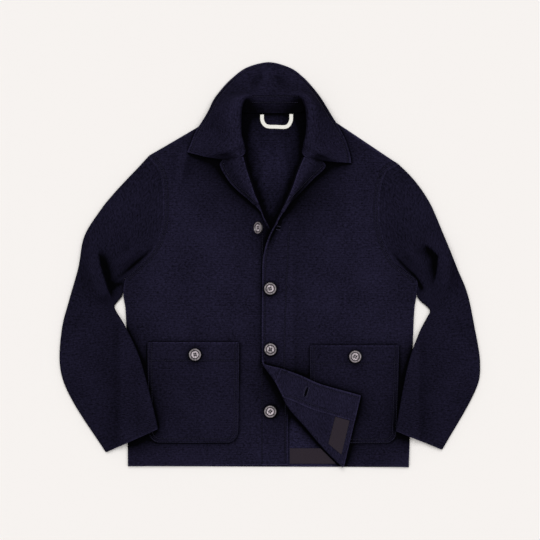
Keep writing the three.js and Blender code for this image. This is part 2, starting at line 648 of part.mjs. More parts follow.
// Points of a turned section by their distance from its free edge, up to the fold.
function fromEdge(band, distances) {
  const flat = band.slice(ARC - 1).reverse();
  const lengths = flat.map((p, i) => (i ? p.distanceTo(flat[i - 1]) : 0));
  const whole = lengths.reduce((sum, l) => sum + l, 0);
  return distances.map((f) => {
    let rest = Math.min(f, 1) * whole;
    let i = 1;
    while (i < flat.length - 1 && rest > lengths[i]) {
      rest -= lengths[i];
      i += 1;
    }
    return mix(flat[i - 1], flat[i], Math.min(rest / lengths[i], 1));
  }).reverse();
}
const bandLength = (band) => band.slice(ARC - 1).reduce(
  (sum, p, i, all) => sum + (i ? p.distanceTo(all[i - 1]) : 0), 0);

const cornerBands = bands.left.filter(({ at }) => at >= CORNER);
const facingGrid = cornerBands.map(({ band }) => {
  const share = Math.min(1, FACING_WIDTH / bandLength(band));
  return fromEdge(band, steps(PATCH_STEPS).map((f) => f * share));
});
add('facing_left_corner', wall([facingUp('left', facingGrid)], -FACING, -GAP), WOOL);
const tapeGrid = cornerBands.filter(({ at }) => HEM_TAPE.includes(at)).map(({ band }) => {
  const share = Math.min(1, (FACING_WIDTH + TAPE) / bandLength(band));
  return fromEdge(band, steps(PATCH_STEPS).map((f) => share + f * (1 - share)));
});
add('hem_tape_left', wall([facingUp('left', tapeGrid)], -TAPE, -GAP), TAPE_CLOTH);

// Hem tape inside the back, between the right front's edge and the left front's fold
const BACK_TAPE = table('y endX', [-355, 98], [-370, 113], [-385, 128]);
const backTape = BACK_TAPE.map(({ y, endX }) => steps(PATCH_STEPS).map((t) => (
  new THREE.Vector3(THREE.MathUtils.lerp(CLIMB_LOW_X, endX, t), y, LAYER))));
add('hem_tape_back', wall([backTape], TAPE), TAPE_CLOTH);

// Hanger loop: a flat tape in a U, both ends at the neck seam
const LOOP_WIDTH = 8;
const LOOP_STEPS = 18;
const LOOP = table('x y', [-16, 295], [-15, 282], [-8, 273], [12, 271], [33, 272], [40, 282], [41, 296]);
const loopPath = new THREE.CatmullRomCurve3(
  LOOP.map(({ x, y }) => new THREE.Vector3(x, y, LAYER)), false, 'centripetal');
const loopGrid = steps(LOOP_STEPS).map((f) => {
  const p = loopPath.getPointAt(f);
  const tangent = loopPath.getTangentAt(f);
  const across = new THREE.Vector3(-tangent.y, tangent.x, 0).multiplyScalar(LOOP_WIDTH / 2);
  return [p.clone().sub(across), p, p.clone().add(across)];
});
add('hanger_loop', wall([loopGrid], TAPE), LOOP_CLOTH);

// Buttons with a double rim and four holes. Radii are shares of the button's own.
const BUTTON_PROFILE = table('radius z', [0, 0], [0.906, 0], [1, 1.2], [1, 2.5], [0.923, 3.3],
  [0.786, 3.3], [0.7, 2.4], [0.6, 2.7], [0.513, 2], [0, 2]);
const BUTTON_SIDES = 20;
const HOLE_R = 1;
const HOLE_SIDES = 8;
const HOLE_LENGTH = 10; // longer than the button is thick
const HOLE_FROM_CENTRE = 2.2;
const CORNERS = [[1, 1], [1, -1], [-1, 1], [-1, -1]];
const MERGED = 1e-4; // points nearer than this are one

function solid(geometry) {
  const merged = BufferGeometryUtils.mergeVertices(bare(geometry), MERGED);
  return new wasm.Manifold(new wasm.Mesh({
    numProp: 3,
    vertProperties: new Float32Array(merged.attributes.position.array),
    triVerts: new Uint32Array(merged.index.array),
  }));
}

function bare(geometry) {
  const copy = geometry.clone();
  copy.deleteAttribute('normal');
  copy.deleteAttribute('uv');
  return copy;
}

function buttonGeometry() {
  const profile = BUTTON_PROFILE.map(({ radius, z }) => new THREE.Vector2(radius * BUTTON_D / 2, z));
  let button = solid(new THREE.LatheGeometry(profile, BUTTON_SIDES).rotateX(Math.PI / 2));
  for (const [sx, sy] of CORNERS) {
    const hole = new THREE.CylinderGeometry(HOLE_R, HOLE_R, HOLE_LENGTH, HOLE_SIDES).rotateX(Math.PI / 2);
    hole.translate(sx * HOLE_FROM_CENTRE, sy * HOLE_FROM_CENTRE, 0);
    button = button.subtract(solid(hole));
  }
  const mesh = button.getMesh();
  const geometry = new THREE.BufferGeometry();
  geometry.setAttribute('position', new THREE.BufferAttribute(mesh.vertProperties, 3));
  geometry.setIndex([...mesh.triVerts]);
  return geometry;
}
const ON_LAP = OVERLAP_Z + LAYER;
const ON_POCKET = POCKET_Z + LAYER + POCKET_BULGE;
const BUTTONS = table('name x y z lean turn',
  ['front_1', -22, 74, 15, -48, 0],
  ['front_2', 0, -44, ON_LAP, 0, 20],
  ['front_3', 0.5, -162, ON_LAP, 0, 75],
  ['front_4', 0, -283, FRONT_Z + LAYER, 0, 50],
  ['pocket_right', -146, -172, ON_POCKET, 0, 10],
  ['pocket_left', 165, -176, ON_POCKET, 0, 60]);
BUTTONS.forEach(({ name, x, y, z, lean, turn }) => {
  const button = add(`button_${name}`, buttonGeometry(), HORN);
  button.position.set(x, y, z);
  button.rotation.set(0, THREE.MathUtils.degToRad(lean), THREE.MathUtils.degToRad(turn), 'YXZ');
});

export default jacket;
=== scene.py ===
"""Work jacket of boiled wool, laid out flat with its front up.

Tables are in millimetres, with +X to the right of the picture and +Y up to the collar.
Left and right in names are the wearer's.
"""

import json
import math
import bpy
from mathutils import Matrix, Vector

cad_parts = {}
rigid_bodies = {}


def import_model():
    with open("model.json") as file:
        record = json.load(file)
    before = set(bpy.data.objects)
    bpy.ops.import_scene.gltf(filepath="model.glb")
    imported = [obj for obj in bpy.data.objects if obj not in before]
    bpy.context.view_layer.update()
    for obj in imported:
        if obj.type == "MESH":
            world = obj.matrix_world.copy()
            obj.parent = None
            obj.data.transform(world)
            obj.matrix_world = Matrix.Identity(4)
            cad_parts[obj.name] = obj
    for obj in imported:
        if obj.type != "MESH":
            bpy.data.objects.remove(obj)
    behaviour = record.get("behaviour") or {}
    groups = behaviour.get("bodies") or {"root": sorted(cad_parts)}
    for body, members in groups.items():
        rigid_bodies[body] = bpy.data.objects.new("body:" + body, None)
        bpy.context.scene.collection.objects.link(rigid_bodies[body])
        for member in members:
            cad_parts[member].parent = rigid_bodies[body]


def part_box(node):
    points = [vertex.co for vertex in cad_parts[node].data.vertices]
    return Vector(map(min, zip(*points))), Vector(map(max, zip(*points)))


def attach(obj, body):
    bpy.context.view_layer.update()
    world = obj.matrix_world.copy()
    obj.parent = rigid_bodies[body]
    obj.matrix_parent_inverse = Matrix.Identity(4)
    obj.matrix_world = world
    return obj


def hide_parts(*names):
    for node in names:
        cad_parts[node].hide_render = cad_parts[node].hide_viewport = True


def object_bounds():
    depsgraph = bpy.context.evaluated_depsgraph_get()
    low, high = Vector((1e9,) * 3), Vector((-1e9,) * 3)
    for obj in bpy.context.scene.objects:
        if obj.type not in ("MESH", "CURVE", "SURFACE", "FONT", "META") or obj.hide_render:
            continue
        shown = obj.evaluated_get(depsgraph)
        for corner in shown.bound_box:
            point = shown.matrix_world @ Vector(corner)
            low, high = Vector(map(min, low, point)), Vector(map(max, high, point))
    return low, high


bl_info = {
    "name": "Work Jacket",
    "version": (1, 0, 0),
    "blender": (4, 5, 0),
    "location": "View3D > Sidebar > Jacket",
    "description": "Cuts, folds and sews a boiled wool work jacket round its packed frame",
    "category": "Object",
}

import bpy
import numpy as np
from bpy.props import FloatProperty, FloatVectorProperty, PointerProperty
from mathutils import Matrix, Vector
from mathutils.bvhtree import BVHTree

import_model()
CAD_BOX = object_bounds()

MM = 0.001
MIDDLE = np.array([-0.5, 2.5, 0.0])  # the middle of the outline in the tables, which is the origin

# Sizes that the frame and this script share
CLOTH = (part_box("back")[1][2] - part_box("back")[0][2]) / MM
FACING = 1.2
TAPE = 1.0
GAP = 0.3
LAYER = CLOTH + GAP
FRONT_Z = LAYER  # underside of a front, on the back
POCKET_Z = 2 * LAYER
SLEEVE_EDGE = 2.9  # radius of a sleeve's folded edges
BUTTON_D = 23.4


# Numbers and tables

def table(names, *rows):
    """Columns by name. Each row is one section or point."""
    return {key: np.array([row[i] for row in rows], float) for i, key in enumerate(names.split())}


def follow(rows, key, at):
    """Smooth value of one column at places along the table's column named at."""
    x, y = rows["at"], rows[key]
    steps = np.diff(y) / np.diff(x)
    slopes = np.concatenate([steps[:1], (y[2:] - y[:-2]) / (x[2:] - x[:-2]), steps[-1:]])
    i = np.clip(np.searchsorted(x, at) - 1, 0, len(x) - 2)
    span = x[i + 1] - x[i]
    f = np.clip((at - x[i]) / span, 0, 1)
    return ((2 * f**3 - 3 * f**2 + 1) * y[i] + (f**3 - 2 * f**2 + f) * span * slopes[i]
            + (3 * f**2 - 2 * f**3) * y[i + 1] + (f**3 - f**2) * span * slopes[i + 1])


def spot(rows, name, at):
    """Plan point, or points, of a table's columns nameX and nameY."""
    return np.stack([follow(rows, name + "X", at), follow(rows, name + "Y", at)], -1)


def lerp(a, b, f):
    return a + (b - a) * f


def ease(x, low, high):
    f = np.clip((x - low) / (high - low), 0, 1)
    return f * f * (3 - 2 * f)


def unit(v):
    return v / np.maximum(np.linalg.norm(v, axis=-1, keepdims=True), 1e-9)


def left_of(v):
    return np.stack([-v[..., 1], v[..., 0]], -1)


def near_line(points, line):
    """Distance to an open line in plan, the side that the point lies on, and the share along it."""
    distance = np.full(len(points), np.inf)
    side_of = np.zeros(len(points))
    along = np.zeros(len(points))
    for i, (a, b) in enumerate(zip(line[:-1], line[1:])):
        ab = b - a
        f = np.clip((points - a) @ ab / max(ab @ ab, 1e-9), 0, 1)
        off = points - a - f[:, None] * ab
        d = np.hypot(off[:, 0], off[:, 1])
        closer = d < distance
        distance[closer] = d[closer]
        side_of[closer] = np.sign(ab[0] * off[:, 1] - ab[1] * off[:, 0])[closer]
        along[closer] = ((i + f) / (len(line) - 1))[closer]
    return distance, side_of, along


def beside(line, distance):
    """A line moved sideways in plan, to its left where the distance is positive."""
    line = np.asarray(line, float)
    tangent = unit(np.gradient(line, axis=0))
    return line + left_of(tangent) * distance


RIM = np.array([0, 0.35, 0.9, 1.6, 2.6])  # points close to a free edge, so that it comes out round


def spread(length, even, start=RIM, end=RIM):
    """Distances from 0 to length: close together at both ends, with even steps between."""
    squeeze = min(1, length / (1.3 * (start[-1] + end[-1]) + 1e-9))
    low, high = start * squeeze, length - end[::-1] * squeeze
    return np.concatenate([low[:-1], np.linspace(low[-1], high[0], even + 1), high[1:]])


# Meshes

def quads(ids):
    """Four-sided faces of a grid of point numbers."""
    return np.stack([ids[:-1, :-1], ids[:-1, 1:], ids[1:, 1:], ids[1:, :-1]], -1).reshape(-1, 4)


def grid_ids(rows, columns, first=0):
    return np.arange(first, first + rows * columns).reshape(rows, columns)


def normals(points, faces):
    """Unit normal at each point. A flat grid with rows down -Y and columns along +X faces up."""
    a, b, c, d = (points[faces[:, k]] for k in range(4))
    across = np.cross(d - b, c - a)
    total = np.zeros_like(points)
    for k in range(4):
        np.add.at(total, faces[:, k], across)
    return unit(total)


def walked(grid, axis):
    """Distance walked along a grid's rows or columns from its first line."""
    step = np.linalg.norm(np.diff(grid, axis=axis), axis=-1)
    start = np.zeros_like(np.take(step, [0], axis=axis))
    return np.concatenate([start, np.cumsum(step, axis=axis)], axis=axis)


def from_edges(across, down):
    """Distance from each point of a grid to the nearest of its four sides."""
    return np.minimum.reduce([across, across[:, -1:] - across, down, down[-1] - down])


def rounded(distance, radius):
    """Share of full thickness at a distance from an edge of that radius."""
    return np.sqrt(1 - (1 - np.clip(distance / radius, 0, 1)) ** 2)


SAME_POINT = 1e-4


def shell(name, outer, inner, faces, uv, marks):
    """A closed cloth wall between two sheets in mm. They share the points where they meet."""
    joined = np.linalg.norm(outer - inner, axis=1) < SAME_POINT
    twin = np.where(joined, np.arange(len(outer)), len(outer) + np.cumsum(~joined) - 1)
    points = (np.vstack([outer, inner[~joined]]) - MIDDLE) * MM
    mesh = bpy.data.meshes.new(name)
    mesh.from_pydata(points.tolist(), [], np.vstack([faces[:, ::-1], twin[faces]]).tolist())
    if mesh.validate():
        raise RuntimeError(f"{name} has stray faces")
    mesh.polygons.foreach_set("use_smooth", np.ones(len(mesh.polygons), bool))
    corner = np.empty(len(mesh.loops), np.int32)
    mesh.loops.foreach_get("vertex_index", corner)
    uv = np.vstack([uv, uv[~joined]]) * MM
    mesh.uv_layers.new(name="cloth").uv.foreach_set("vector", uv[corner].astype(np.float32).ravel())
    for key, value in marks.items():
        value = np.concatenate([value, value[~joined]]).astype(np.float32)
        mesh.attributes.new(key, "FLOAT", "POINT").data.foreach_set("value", value)
    piece = bpy.data.objects.new(name, mesh)
    bpy.context.scene.collection.objects.link(piece)
    return piece


FAR_OFF = 30.0  # a distance in mm past which an edge or a row of stitches marks nothing
GROOVE_DEPTH = 0.7
GROOVE_WIDTH = 1.4


def stitch_marks(points, lines):
    """Distance in mm from each point to the nearest line of stitches, in plan."""
    distance = np.full(len(points), FAR_OFF)
    for line in lines:
        distance = np.minimum(distance, near_line(points[:, :2], line)[0])
    return distance


def cloth_sheet(name, points, faces, uv, edge, low, high, lines=()):
    """A wall from low to high mm along the normals of a sheet, round at its free edges."""
    out = normals(points, faces)
    half = (high - low) / 2
    middle = points + out * (high + low) / 2
    thick = half * rounded(edge, half)
    stitch = stitch_marks(points, lines)
    groove = GROOVE_DEPTH * np.exp(-(stitch / GROOVE_WIDTH) ** 2) * np.minimum(edge / half, 1)
    groove = np.minimum(groove, thick * 0.6)
    wall = (thick - groove)[:, None] * out
    marks = {"stitch_mm": stitch, "edge_mm": np.minimum(edge, FAR_OFF)}
    return shell(name, middle + wall, middle - wall, faces, uv, marks)


AS_IS, TURNED = slice(None), slice(None, None, -1)  # how a grid's columns are taken, to face it up


def grid_sheet(node, grid, thick, uv=None, edge=None, columns=AS_IS):
    """A wall that stands up from a grid of points."""
    points = grid.reshape(-1, 3)
    uv = points[:, :2] if uv is None else uv.reshape(-1, 2)
    edge = from_edges(walked(grid, 1), walked(grid, 0)) if edge is None else edge
    faces = quads(grid_ids(*grid.shape[:2])[:, columns])
    return cloth_sheet(f"{node}_cloth", points, faces, uv, edge.ravel(), 0, thick, STITCHES.get(node, ()))


def creased(points, creases):
    """Raises ridges, or troughs where the height is negative, along lines, fading at their ends."""
    for height, width, *line in creases:
        distance, _, along = near_line(points[:, :2], seen(*line))
        fade = np.sin(np.pi * np.clip(along, 0.04, 0.96)) ** 0.6
        points[:, 2] += height * fade * np.exp(-(distance / width) ** 2)
    return points


# Outline of the body. It runs from the shoulder tip, at 0, down the armhole to the underarm,
# at 1, and down the side seam to the hem, at 2.
SIDES = {
    "right": table("at X Y",
        (0.00, -236, 215), (0.17, -213, 181), (0.38, -206, 123), (0.58, -211, 68),
        (0.75, -230, 27), (0.88, -258, -2), (1.00, -282, -25), (1.08, -286, -55),
        (1.16, -282, -82), (1.30, -280, -130), (2.00, -277, -390)),
    "left": table("at X Y",
        (0.00, 249, 199), (0.14, 222, 181), (0.36, 210, 123), (0.56, 214, 68),
        (0.76, 236, 14), (0.88, 261, -8), (1.00, 286, -29), (1.08, 285, -55),
        (1.16, 281, -82), (1.34, 278, -144), (2.00, 270, -392)),
}
INWARD = {"right": 1, "left": -1}  # the way along X from a side seam to the middle


def side(name, at):
    return spot(SIDES[name], "", at)


NECK = table("at X Y",
    (0.0, -236, 215), (0.3, -100, 295), (0.37, -68, 314), (0.44, -48, 306), (0.5, 8, 303),
    (0.56, 62, 306), (0.63, 78, 312), (0.7, 110, 292), (1.0, 249, 199))

# Fronts. turn is how far the cloth turns back at its fold line, in degrees, and r the roll's radius.
GORGE = 0.3
FRONTS = {
    "right": table("at foldX foldY edgeX edgeY edgeZ turn r lift",
        (0.00, -67, 312, -67, 312, 6, 0, 6, 3),
        (0.10, -75, 284, -75, 284, 6, 0, 6, 3),
        (0.20, -68, 248, -68, 248, 6, 0, 6, 3),
        (0.30, -49, 212, -91, 207.5, 11.5, 180, 8, 3),
        (0.33, -47, 204, -98, 196.5, 11.5, 180, 8, 3),
        (0.40, -42, 185, -82, 167, 11.5, 180, 7.5, 3),
        (0.50, -34, 160, -64, 147, 11.5, 180, 7, 3),
        (0.60, -26, 135, -43, 129, 12, 180, 5.5, 3),
        (0.70, -16, 106, -18.5, 105, 12, 120, 4.5, 2),
        (0.80, -4, 72, 0, 73, 5.5, 40, 4, 1),
        (0.90, 15, 27, 23, 28, 2.9, 0, 4, 0),
        (1.00, 26, -30, 34, -30, 2.9, 0, 4, 0),
        (1.10, 26, -66, 35, -66, 2.9, 0, 4, 0),
        (2.00, 26, -388, 35, -388, 2.9, 0, 4, 0)),
    "left": table("at foldX foldY edgeX edgeY edgeZ turn r lift",
        (0.00, 67, 312, 67, 312, 6, 0, 6, 3),
        (0.10, 80, 283, 80, 283, 6, 0, 6, 3),
        (0.20, 78, 248, 78, 248, 6, 0, 6, 3),
        (0.30, 62, 212, 100, 205.5, 11.5, 180, 8, 3),
        (0.33, 59, 204, 108, 193.5, 11.5, 180, 8, 3),
        (0.40, 51, 184, 86, 171, 11.5, 180, 7.5, 3),
        (0.50, 41, 154, 63, 147, 11.5, 180, 7, 4),
        (0.60, 27, 121, 36, 117, 15, 180, 6, 5.5),
        (0.70, 12, 88, 15, 87, 19, 160, 5, 6.5),
        (0.80, -3, 54, -4, 54.5, 15, 90, 5, 6.5),
        (0.90, -7, 20, -14, 18, 7.5, 0, 5, 3),
        (1.00, -8, -33, -16, -33, 5.8, 0, 5, 0),
        (1.42, -8.5, -178, -16.5, -178, 5.8, 0, 5, 0),
        (1.46, -15, -189, -14.5, -188.5, 12.5, 90, 4.5, 0),
        (1.50, -8, -202, 2, -194, 15, 150, 4.7, 0),
        (1.56, 6, -222, 20, -198, 15.2, 180, 5, 0),
        (1.64, 33, -273, 56, -211, 14, 180, 5.3, 0),
        (1.76, 68, -314, 95, -228, 13, 180, 5.3, 0),
        (1.88, 103, -355, 136, -240, 13, 180, 5.3, 0),
        (2.00, 140, -392, 176, -251, 13.5, 180, 5.3, 0)),
}
UNDER_EDGE_X = 35  # the right front's free edge, under the left one
CLIMB_X = (UNDER_EDGE_X + 3, UNDER_EDGE_X + 15)  # the left front comes down from it between these
CLIMB_Y = (60, 90)
RISE = 60  # how far from the fold a front begins to lift
CORNER_AT = 1.56  # where the turned-up corner lies over fully
CORNER_FROM = 1.41  # where the fold of the corner begins
ROLL_FROM = 0.2  # where the roll of the fold begins
LAPEL_END = 0.65  # where the facing stops showing


def front_z(name, x, y, from_fold, lift):
    """Height of a front's underside. The left one climbs over the right one's free edge."""
    rise = lift * (1 - ease(from_fold, 0, RISE))
    if name == "right":
        return FRONT_Z + rise
    climb = LAYER * (1 - ease(x, *CLIMB_X)) * (1 - ease(y, *CLIMB_Y))
    return FRONT_Z + np.maximum(rise, climb)


def into_panel(name, at):
    """Direction in plan from a front's fold line into its panel."""
    reach = 0.02
    up = spot(FRONTS[name], "fold", max(at - reach, GORGE))
    down = spot(FRONTS[name], "fold", min(at + reach, 2))
    along = unit(down - up)
    return left_of(along) if name == "left" else -left_of(along)


# Points of a front's section near its side and near its fold, close together at rows of stitches
SIDE_STOPS = np.array([0, 0.35, 0.9, 1.6, 2.2, 2.8, 4, 5.5, 7, 7.6, 8.2, 10, 12.5])
FOLD_STOPS = np.concatenate([[0, 0.4, 1, 2], np.arange(4, 28, 3), np.arange(28, 46), np.arange(47, 64, 3)])
PANEL_COLUMNS = 95
BAND_TURN = 16  # steps round the fold
BAND_FLAT = 28  # steps from there to the free edge


def front_section(name, at):
    """One section of a front: the panel from the side to the fold, and the band round the fold."""
    rows = FRONTS[name]
    fold = spot(rows, "fold", at)
    turn = math.radians(max(follow(rows, "turn", at), 0))
    r = follow(rows, "r", at)
    lift = max(0.0, follow(rows, "lift", at))
    inward = into_panel(name, at)
    start = fold + inward * r * math.sin(min(turn, math.pi / 2)) * ease(at, ROLL_FROM, GORGE)
    outer = side(name, at)
    width = np.linalg.norm(outer - start)
    between = PANEL_COLUMNS - len(SIDE_STOPS) - len(FOLD_STOPS)
    middle = np.linspace(SIDE_STOPS[-1], width - FOLD_STOPS[-1], between + 2)[1:-1]
    distances = np.concatenate([SIDE_STOPS, middle, width - FOLD_STOPS[::-1]])
    plan = lerp(outer, start, (distances / width)[:, None])
    z = front_z(name, plan[:, 0], plan[:, 1], width - distances, lift)
    panel = np.column_stack([plan, z])
    if at < GORGE - 1e-6:
        return panel, None, None

    start_z = z[-1]
    edge = spot(rows, "edge", at)
    edge_z = max(follow(rows, "edgeZ", at), front_z(name, *edge, 0, lift * math.cos(turn / 2)))
    arc = r * turn

    def place(theta):
        sweep = start - inward * (r * np.sin(theta))[..., None]
        return np.concatenate([sweep, (start_z + r * (1 - np.cos(theta)))[..., None]], -1)

    arc_end = place(np.array([turn]))[0]
    tip = np.array([*edge, edge_z])
    total = arc + np.linalg.norm(tip - arc_end)
    bend = np.clip(arc, 0.25 * total, 0.75 * total)  # the part of the band that the close steps take
    flat = spread(1, BAND_FLAT, np.array([0]), RIM / max(total - bend, 8))
    s = np.concatenate([np.linspace(0, bend, BAND_TURN + 1), bend + flat[1:] * (total - bend)])
    f = np.clip((s - arc) / max(total - arc, 1e-6), 0, 1)
    soft = f - np.sin(2 * np.pi * f) / (4 * np.pi) * min(turn, 1)
    straight = lerp(arc_end, tip, f[:, None])
    straight[:, 2] = lerp(arc_end[2], tip[2], soft)
    band = np.where((s <= arc)[:, None], place(np.minimum(s, arc) / r), straight)
    unrolled = start - inward * s[:, None]
    return panel, band, unrolled


def section_places(name):
    """Places of a front's sections, close together at the shoulder, notch, turned corner and hem."""
    arm, below = 330.0, 367.0  # length of the fold line above and below the underarm
    rim = RIM[1:]
    places = [np.linspace(0, 1, 92), np.linspace(1, 2, 106), rim / arm, 2 - rim / below, GORGE + rim / arm,
              GORGE - rim / arm, [GORGE]]
    if name == "left":
        places += [np.linspace(CORNER_FROM, CORNER_AT + 0.02, 40), np.linspace(CORNER_AT + 0.02, 2, 70)]
    places = np.unique(np.round(np.concatenate(places), 5))
    keep = np.concatenate([[True], np.diff(places) > 0.0006])
    places = places[keep]
    places[np.argmin(abs(places - GORGE))] = GORGE
    return places


def front_sheet(name, creases):
    """Points, faces, unrolled places and edge distances of one front, and its band for the facings."""
    places = section_places(name)
    sections = [front_section(name, at) for at in places]
    panel = np.array([s[0] for s in sections])
    gorge = int(np.argmin(abs(places - GORGE)))
    band = np.array([s[1] for s in sections[gorge:]])
    unrolled = np.array([s[2] for s in sections[gorge:]])
    flat_points = panel.reshape(-1, 3)
    creased(flat_points, creases)
    panel = flat_points.reshape(panel.shape)
    band[:, 0] = panel[gorge:, -1]

    across, down = walked(panel, 1), walked(panel, 0)
    edge = np.minimum(across, down)
    edge = np.minimum(edge, down[-1] - down)
    neckline = across[:, -1:] - across
    below = np.maximum(down - down[gorge], 0)
    edge = np.minimum(edge, np.hypot(neckline, below))
    band_down = walked(band, 0)
    band_across = walked(band, 1)
    band_edge = np.minimum(band_across[:, -1:] - band_across, band_down[-1] - band_down)
    band_edge[:, 0] = edge[gorge:, -1]

    panel_ids = grid_ids(*panel.shape[:2])
    band_ids = grid_ids(band.shape[0], band.shape[1] - 1, panel_ids.size)
    band_ids = np.column_stack([panel_ids[gorge:, -1], band_ids])
    facing_up = AS_IS if name == "right" else TURNED
    faces = np.vstack([quads(panel_ids[:, facing_up]), quads(band_ids[:, facing_up])])
    return {
        "points": np.vstack([panel.reshape(-1, 3), band[:, 1:].reshape(-1, 3)]),
        "faces": faces,
        "uv": np.vstack([panel[..., :2].reshape(-1, 2), unrolled[:, 1:].reshape(-1, 2)]),
        "edge": np.concatenate([edge.ravel(), band_edge[:, 1:].ravel()]),
        "band": band, "unrolled": unrolled, "places": places[gorge:], "facing_up": facing_up,
    }


def band_patch(sheet, low_at, high_at, from_edge, to_edge, step):
    """A grid over part of a turned band, by distance from its free edge; None runs to the fold."""
    rows = np.flatnonzero((sheet["places"] >= low_at - 1e-6) & (sheet["places"] <= high_at + 1e-6))
    grid, plan, edge = [], [], []
    longest = max(walked(sheet["band"][rows], 1)[:, -1])
    count = int((to_edge or longest) / step)
    for i in rows:
        line = sheet["band"][i][BAND_TURN - 3:][::-1]
        flat = sheet["unrolled"][i][BAND_TURN - 3:][::-1]
        along = walked(line, 0)
        reach = along[-1] if to_edge is None else min(to_edge, along[-1])
        begin = min(from_edge, 0.8 * reach)
        shares = spread(1, count, RIM / max(reach - begin, 8), RIM / max(reach - begin, 8))
        s = begin + shares * (reach - begin)
        grid.append([[np.interp(v, along, line[:, k]) for k in range(3)] for v in s])
        plan.append([[np.interp(v, along, flat[:, k]) for k in range(2)] for v in s])
    grid, plan = np.array(grid)[:, ::-1], np.array(plan)[:, ::-1]
    across, down = walked(grid, 1), walked(grid, 0)
    edge = np.minimum.reduce([across, across[:, -1:] - across, down[-1] - down])
    if low_at > GORGE:
        edge = np.minimum(edge, down)
    ids = grid_ids(*grid.shape[:2])[:, sheet["facing_up"]]
    return grid.reshape(-1, 3), quads(ids), plan.reshape(-1, 2), edge.ravel()


# Collar: stand and fall in one rolled piece, round the neck from the right front's notch
COLLAR = table("at seamX seamY seamZ foldX foldY foldZ edgeX edgeY edgeZ crown",
    (0, -91, 208, 10.4, -127, 213, 9, -162, 221, 6.2, 0),
    (1, -73, 210, 15.6, -95, 217, 14, -156, 234, 6.2, 1),
    (2, -54, 212.4, 20.6, -70, 222, 20.5, -150, 250, 6.2, 1),
    (3, -50, 225, 15, -54, 234, 21, -143, 265, 6.2, 3),
    (4, -66, 248, 11, -57.5, 254, 22, -133, 280, 6.2, 4),
    (5, -72, 269, 11, -58, 277, 23, -125, 292.5, 6.2, 5),
    (6, -72, 290, 11, -57, 302, 23, -118, 305, 6, 5),
    (7, -66, 305, 10, -51, 322, 21, -110, 322, 4, 4),
    (8, -53, 300, 5.5, -40, 328, 16, -96, 342, 2, 3),
    (9, -37, 298.5, 3.2, -28, 327, 12, -76, 364, 1, 1),
    (10, -18, 298, 3.2, -13, 326, 9, -45, 387, 0.5, 0),
    (11, 3.5, 298, 3.2, 3.5, 326, 8, -2, 397, 0.5, 0),
    (12, 25, 298, 3.2, 20, 326, 9, 39, 386, 0.5, 0),
    (13, 44.5, 298.5, 3.2, 35, 327.5, 12, 64, 367.5, 1, 1),
    (14, 60, 300, 5.5, 49, 329.5, 16, 81.5, 348, 2, 3),
    (15, 73, 305, 10, 62, 325, 21, 96, 328.5, 4, 4),
    (16, 80, 290.5, 11, 70, 306, 23, 109, 308, 6, 5),
    (17, 83, 269, 11, 72, 281, 23, 118.5, 292.5, 6.2, 5),
    (18, 80, 248, 11, 71, 256, 22, 130, 275, 6.2, 4),
    (19, 64, 225, 15, 68, 234, 21, 140, 257.5, 6.2, 3),
    (20, 66, 212.2, 20.6, 84, 221, 20.5, 148, 240, 6.2, 1),
    (21, 83, 209, 15.6, 103, 213, 14, 154.5, 218.5, 6.2, 1),
    (22, 100, 206, 10.4, 127, 203, 9, 157.5, 200, 6.2, 0))
GORGE_ROWS = (2.6, 19.4)  # before the first and after the second, the collar's seam meets a lapel
ROLL_WIDTH = 7  # from the fold line to the crown of the roll


def collar_section(at, shares):
    """Points from the neck seam over the roll to the fall's edge, on a centripetal spline."""
    seam, fold, edge = (np.array([follow(COLLAR, name + axis, at) for axis in "XYZ"])
                        for name in ("seam", "fold", "edge"))
    crown_height = follow(COLLAR, "crown", at)
    crown = fold + np.append(unit((edge - fold)[:2]) * ROLL_WIDTH, crown_height)
    middle = lerp(crown, edge, 0.5) + [0, 0, 0.6 * crown_height]
    knots = [2 * seam - fold, seam, fold, crown, middle, edge, 2 * edge - middle]
    line = []
    for t in shares:
        i = min(int(t * 4), 3)
        line.append(spline_point(knots[i:i + 4], t * 4 - i))
    return line


def spline_point(knots, f):
    """A point between the second and third of four knots of a centripetal spline."""
    a, b, c, d = knots
    gaps = [max(np.linalg.norm(q - p) ** 0.5, 1e-4) for p, q in ((a, b), (b, c), (c, d))]
    slope_b = ((b - a) / gaps[0] - (c - a) / (gaps[0] + gaps[1]) + (c - b) / gaps[1]) * gaps[1]
    slope_c = ((c - b) / gaps[1] - (d - b) / (gaps[1] + gaps[2]) + (d - c) / gaps[2]) * gaps[1]
    return ((2 * f**3 - 3 * f**2 + 1) * b + (f**3 - 2 * f**2 + f) * slope_b
            + (3 * f**2 - 2 * f**3) * c + (f**3 - f**2) * slope_c)


# Sleeves: flattened tubes from the outer fold to the inner one. bow is how much of the
# armhole's curve a section keeps.
SLEEVES = {
    "right": table("at outX outY inX inY bow",
        (0, -236, 215, -282.6, -25, 1), (1, -257, 192, -282.6, -25, 0.7),
        (2, -280, 168, -282.6, -25, 0.45), (3, -303, 143, -284.8, -34, 0.25),
        (4, -327, 114, -287.4, -56, 0.12), (6, -362, 58, -300, -73, 0),
        (8, -374, -4, -303, -80, 0), (9.5, -391, -64, -298, -91, 0),
        (11, -406, -123, -282, -116, 0), (13, -409, -199, -255, -174, 0),
        (15, -386, -261, -236, -238, 0), (18, -320, -363, -217, -316, 0)),
    "left": table("at outX outY inX inY bow",
        (0, 249, 199, 286.6, -29, 1), (1, 267, 182, 286.6, -29, 0.7),
        (2, 284, 163, 286.6, -29, 0.45), (3, 300, 141, 287.4, -38, 0.25),
        (4, 315, 115, 286.4, -60, 0.12), (6, 339, 58, 306, -80, 0),
        (8, 365, -6, 311, -89, 0), (9.5, 384, -53, 305, -101, 0),
        (11, 397, -113, 290, -129, 0), (13, 409, -190, 272, -176, 0),
        (15, 399, -244, 259, -232, 0), (18, 335, -358, 243, -320, 0)),
}
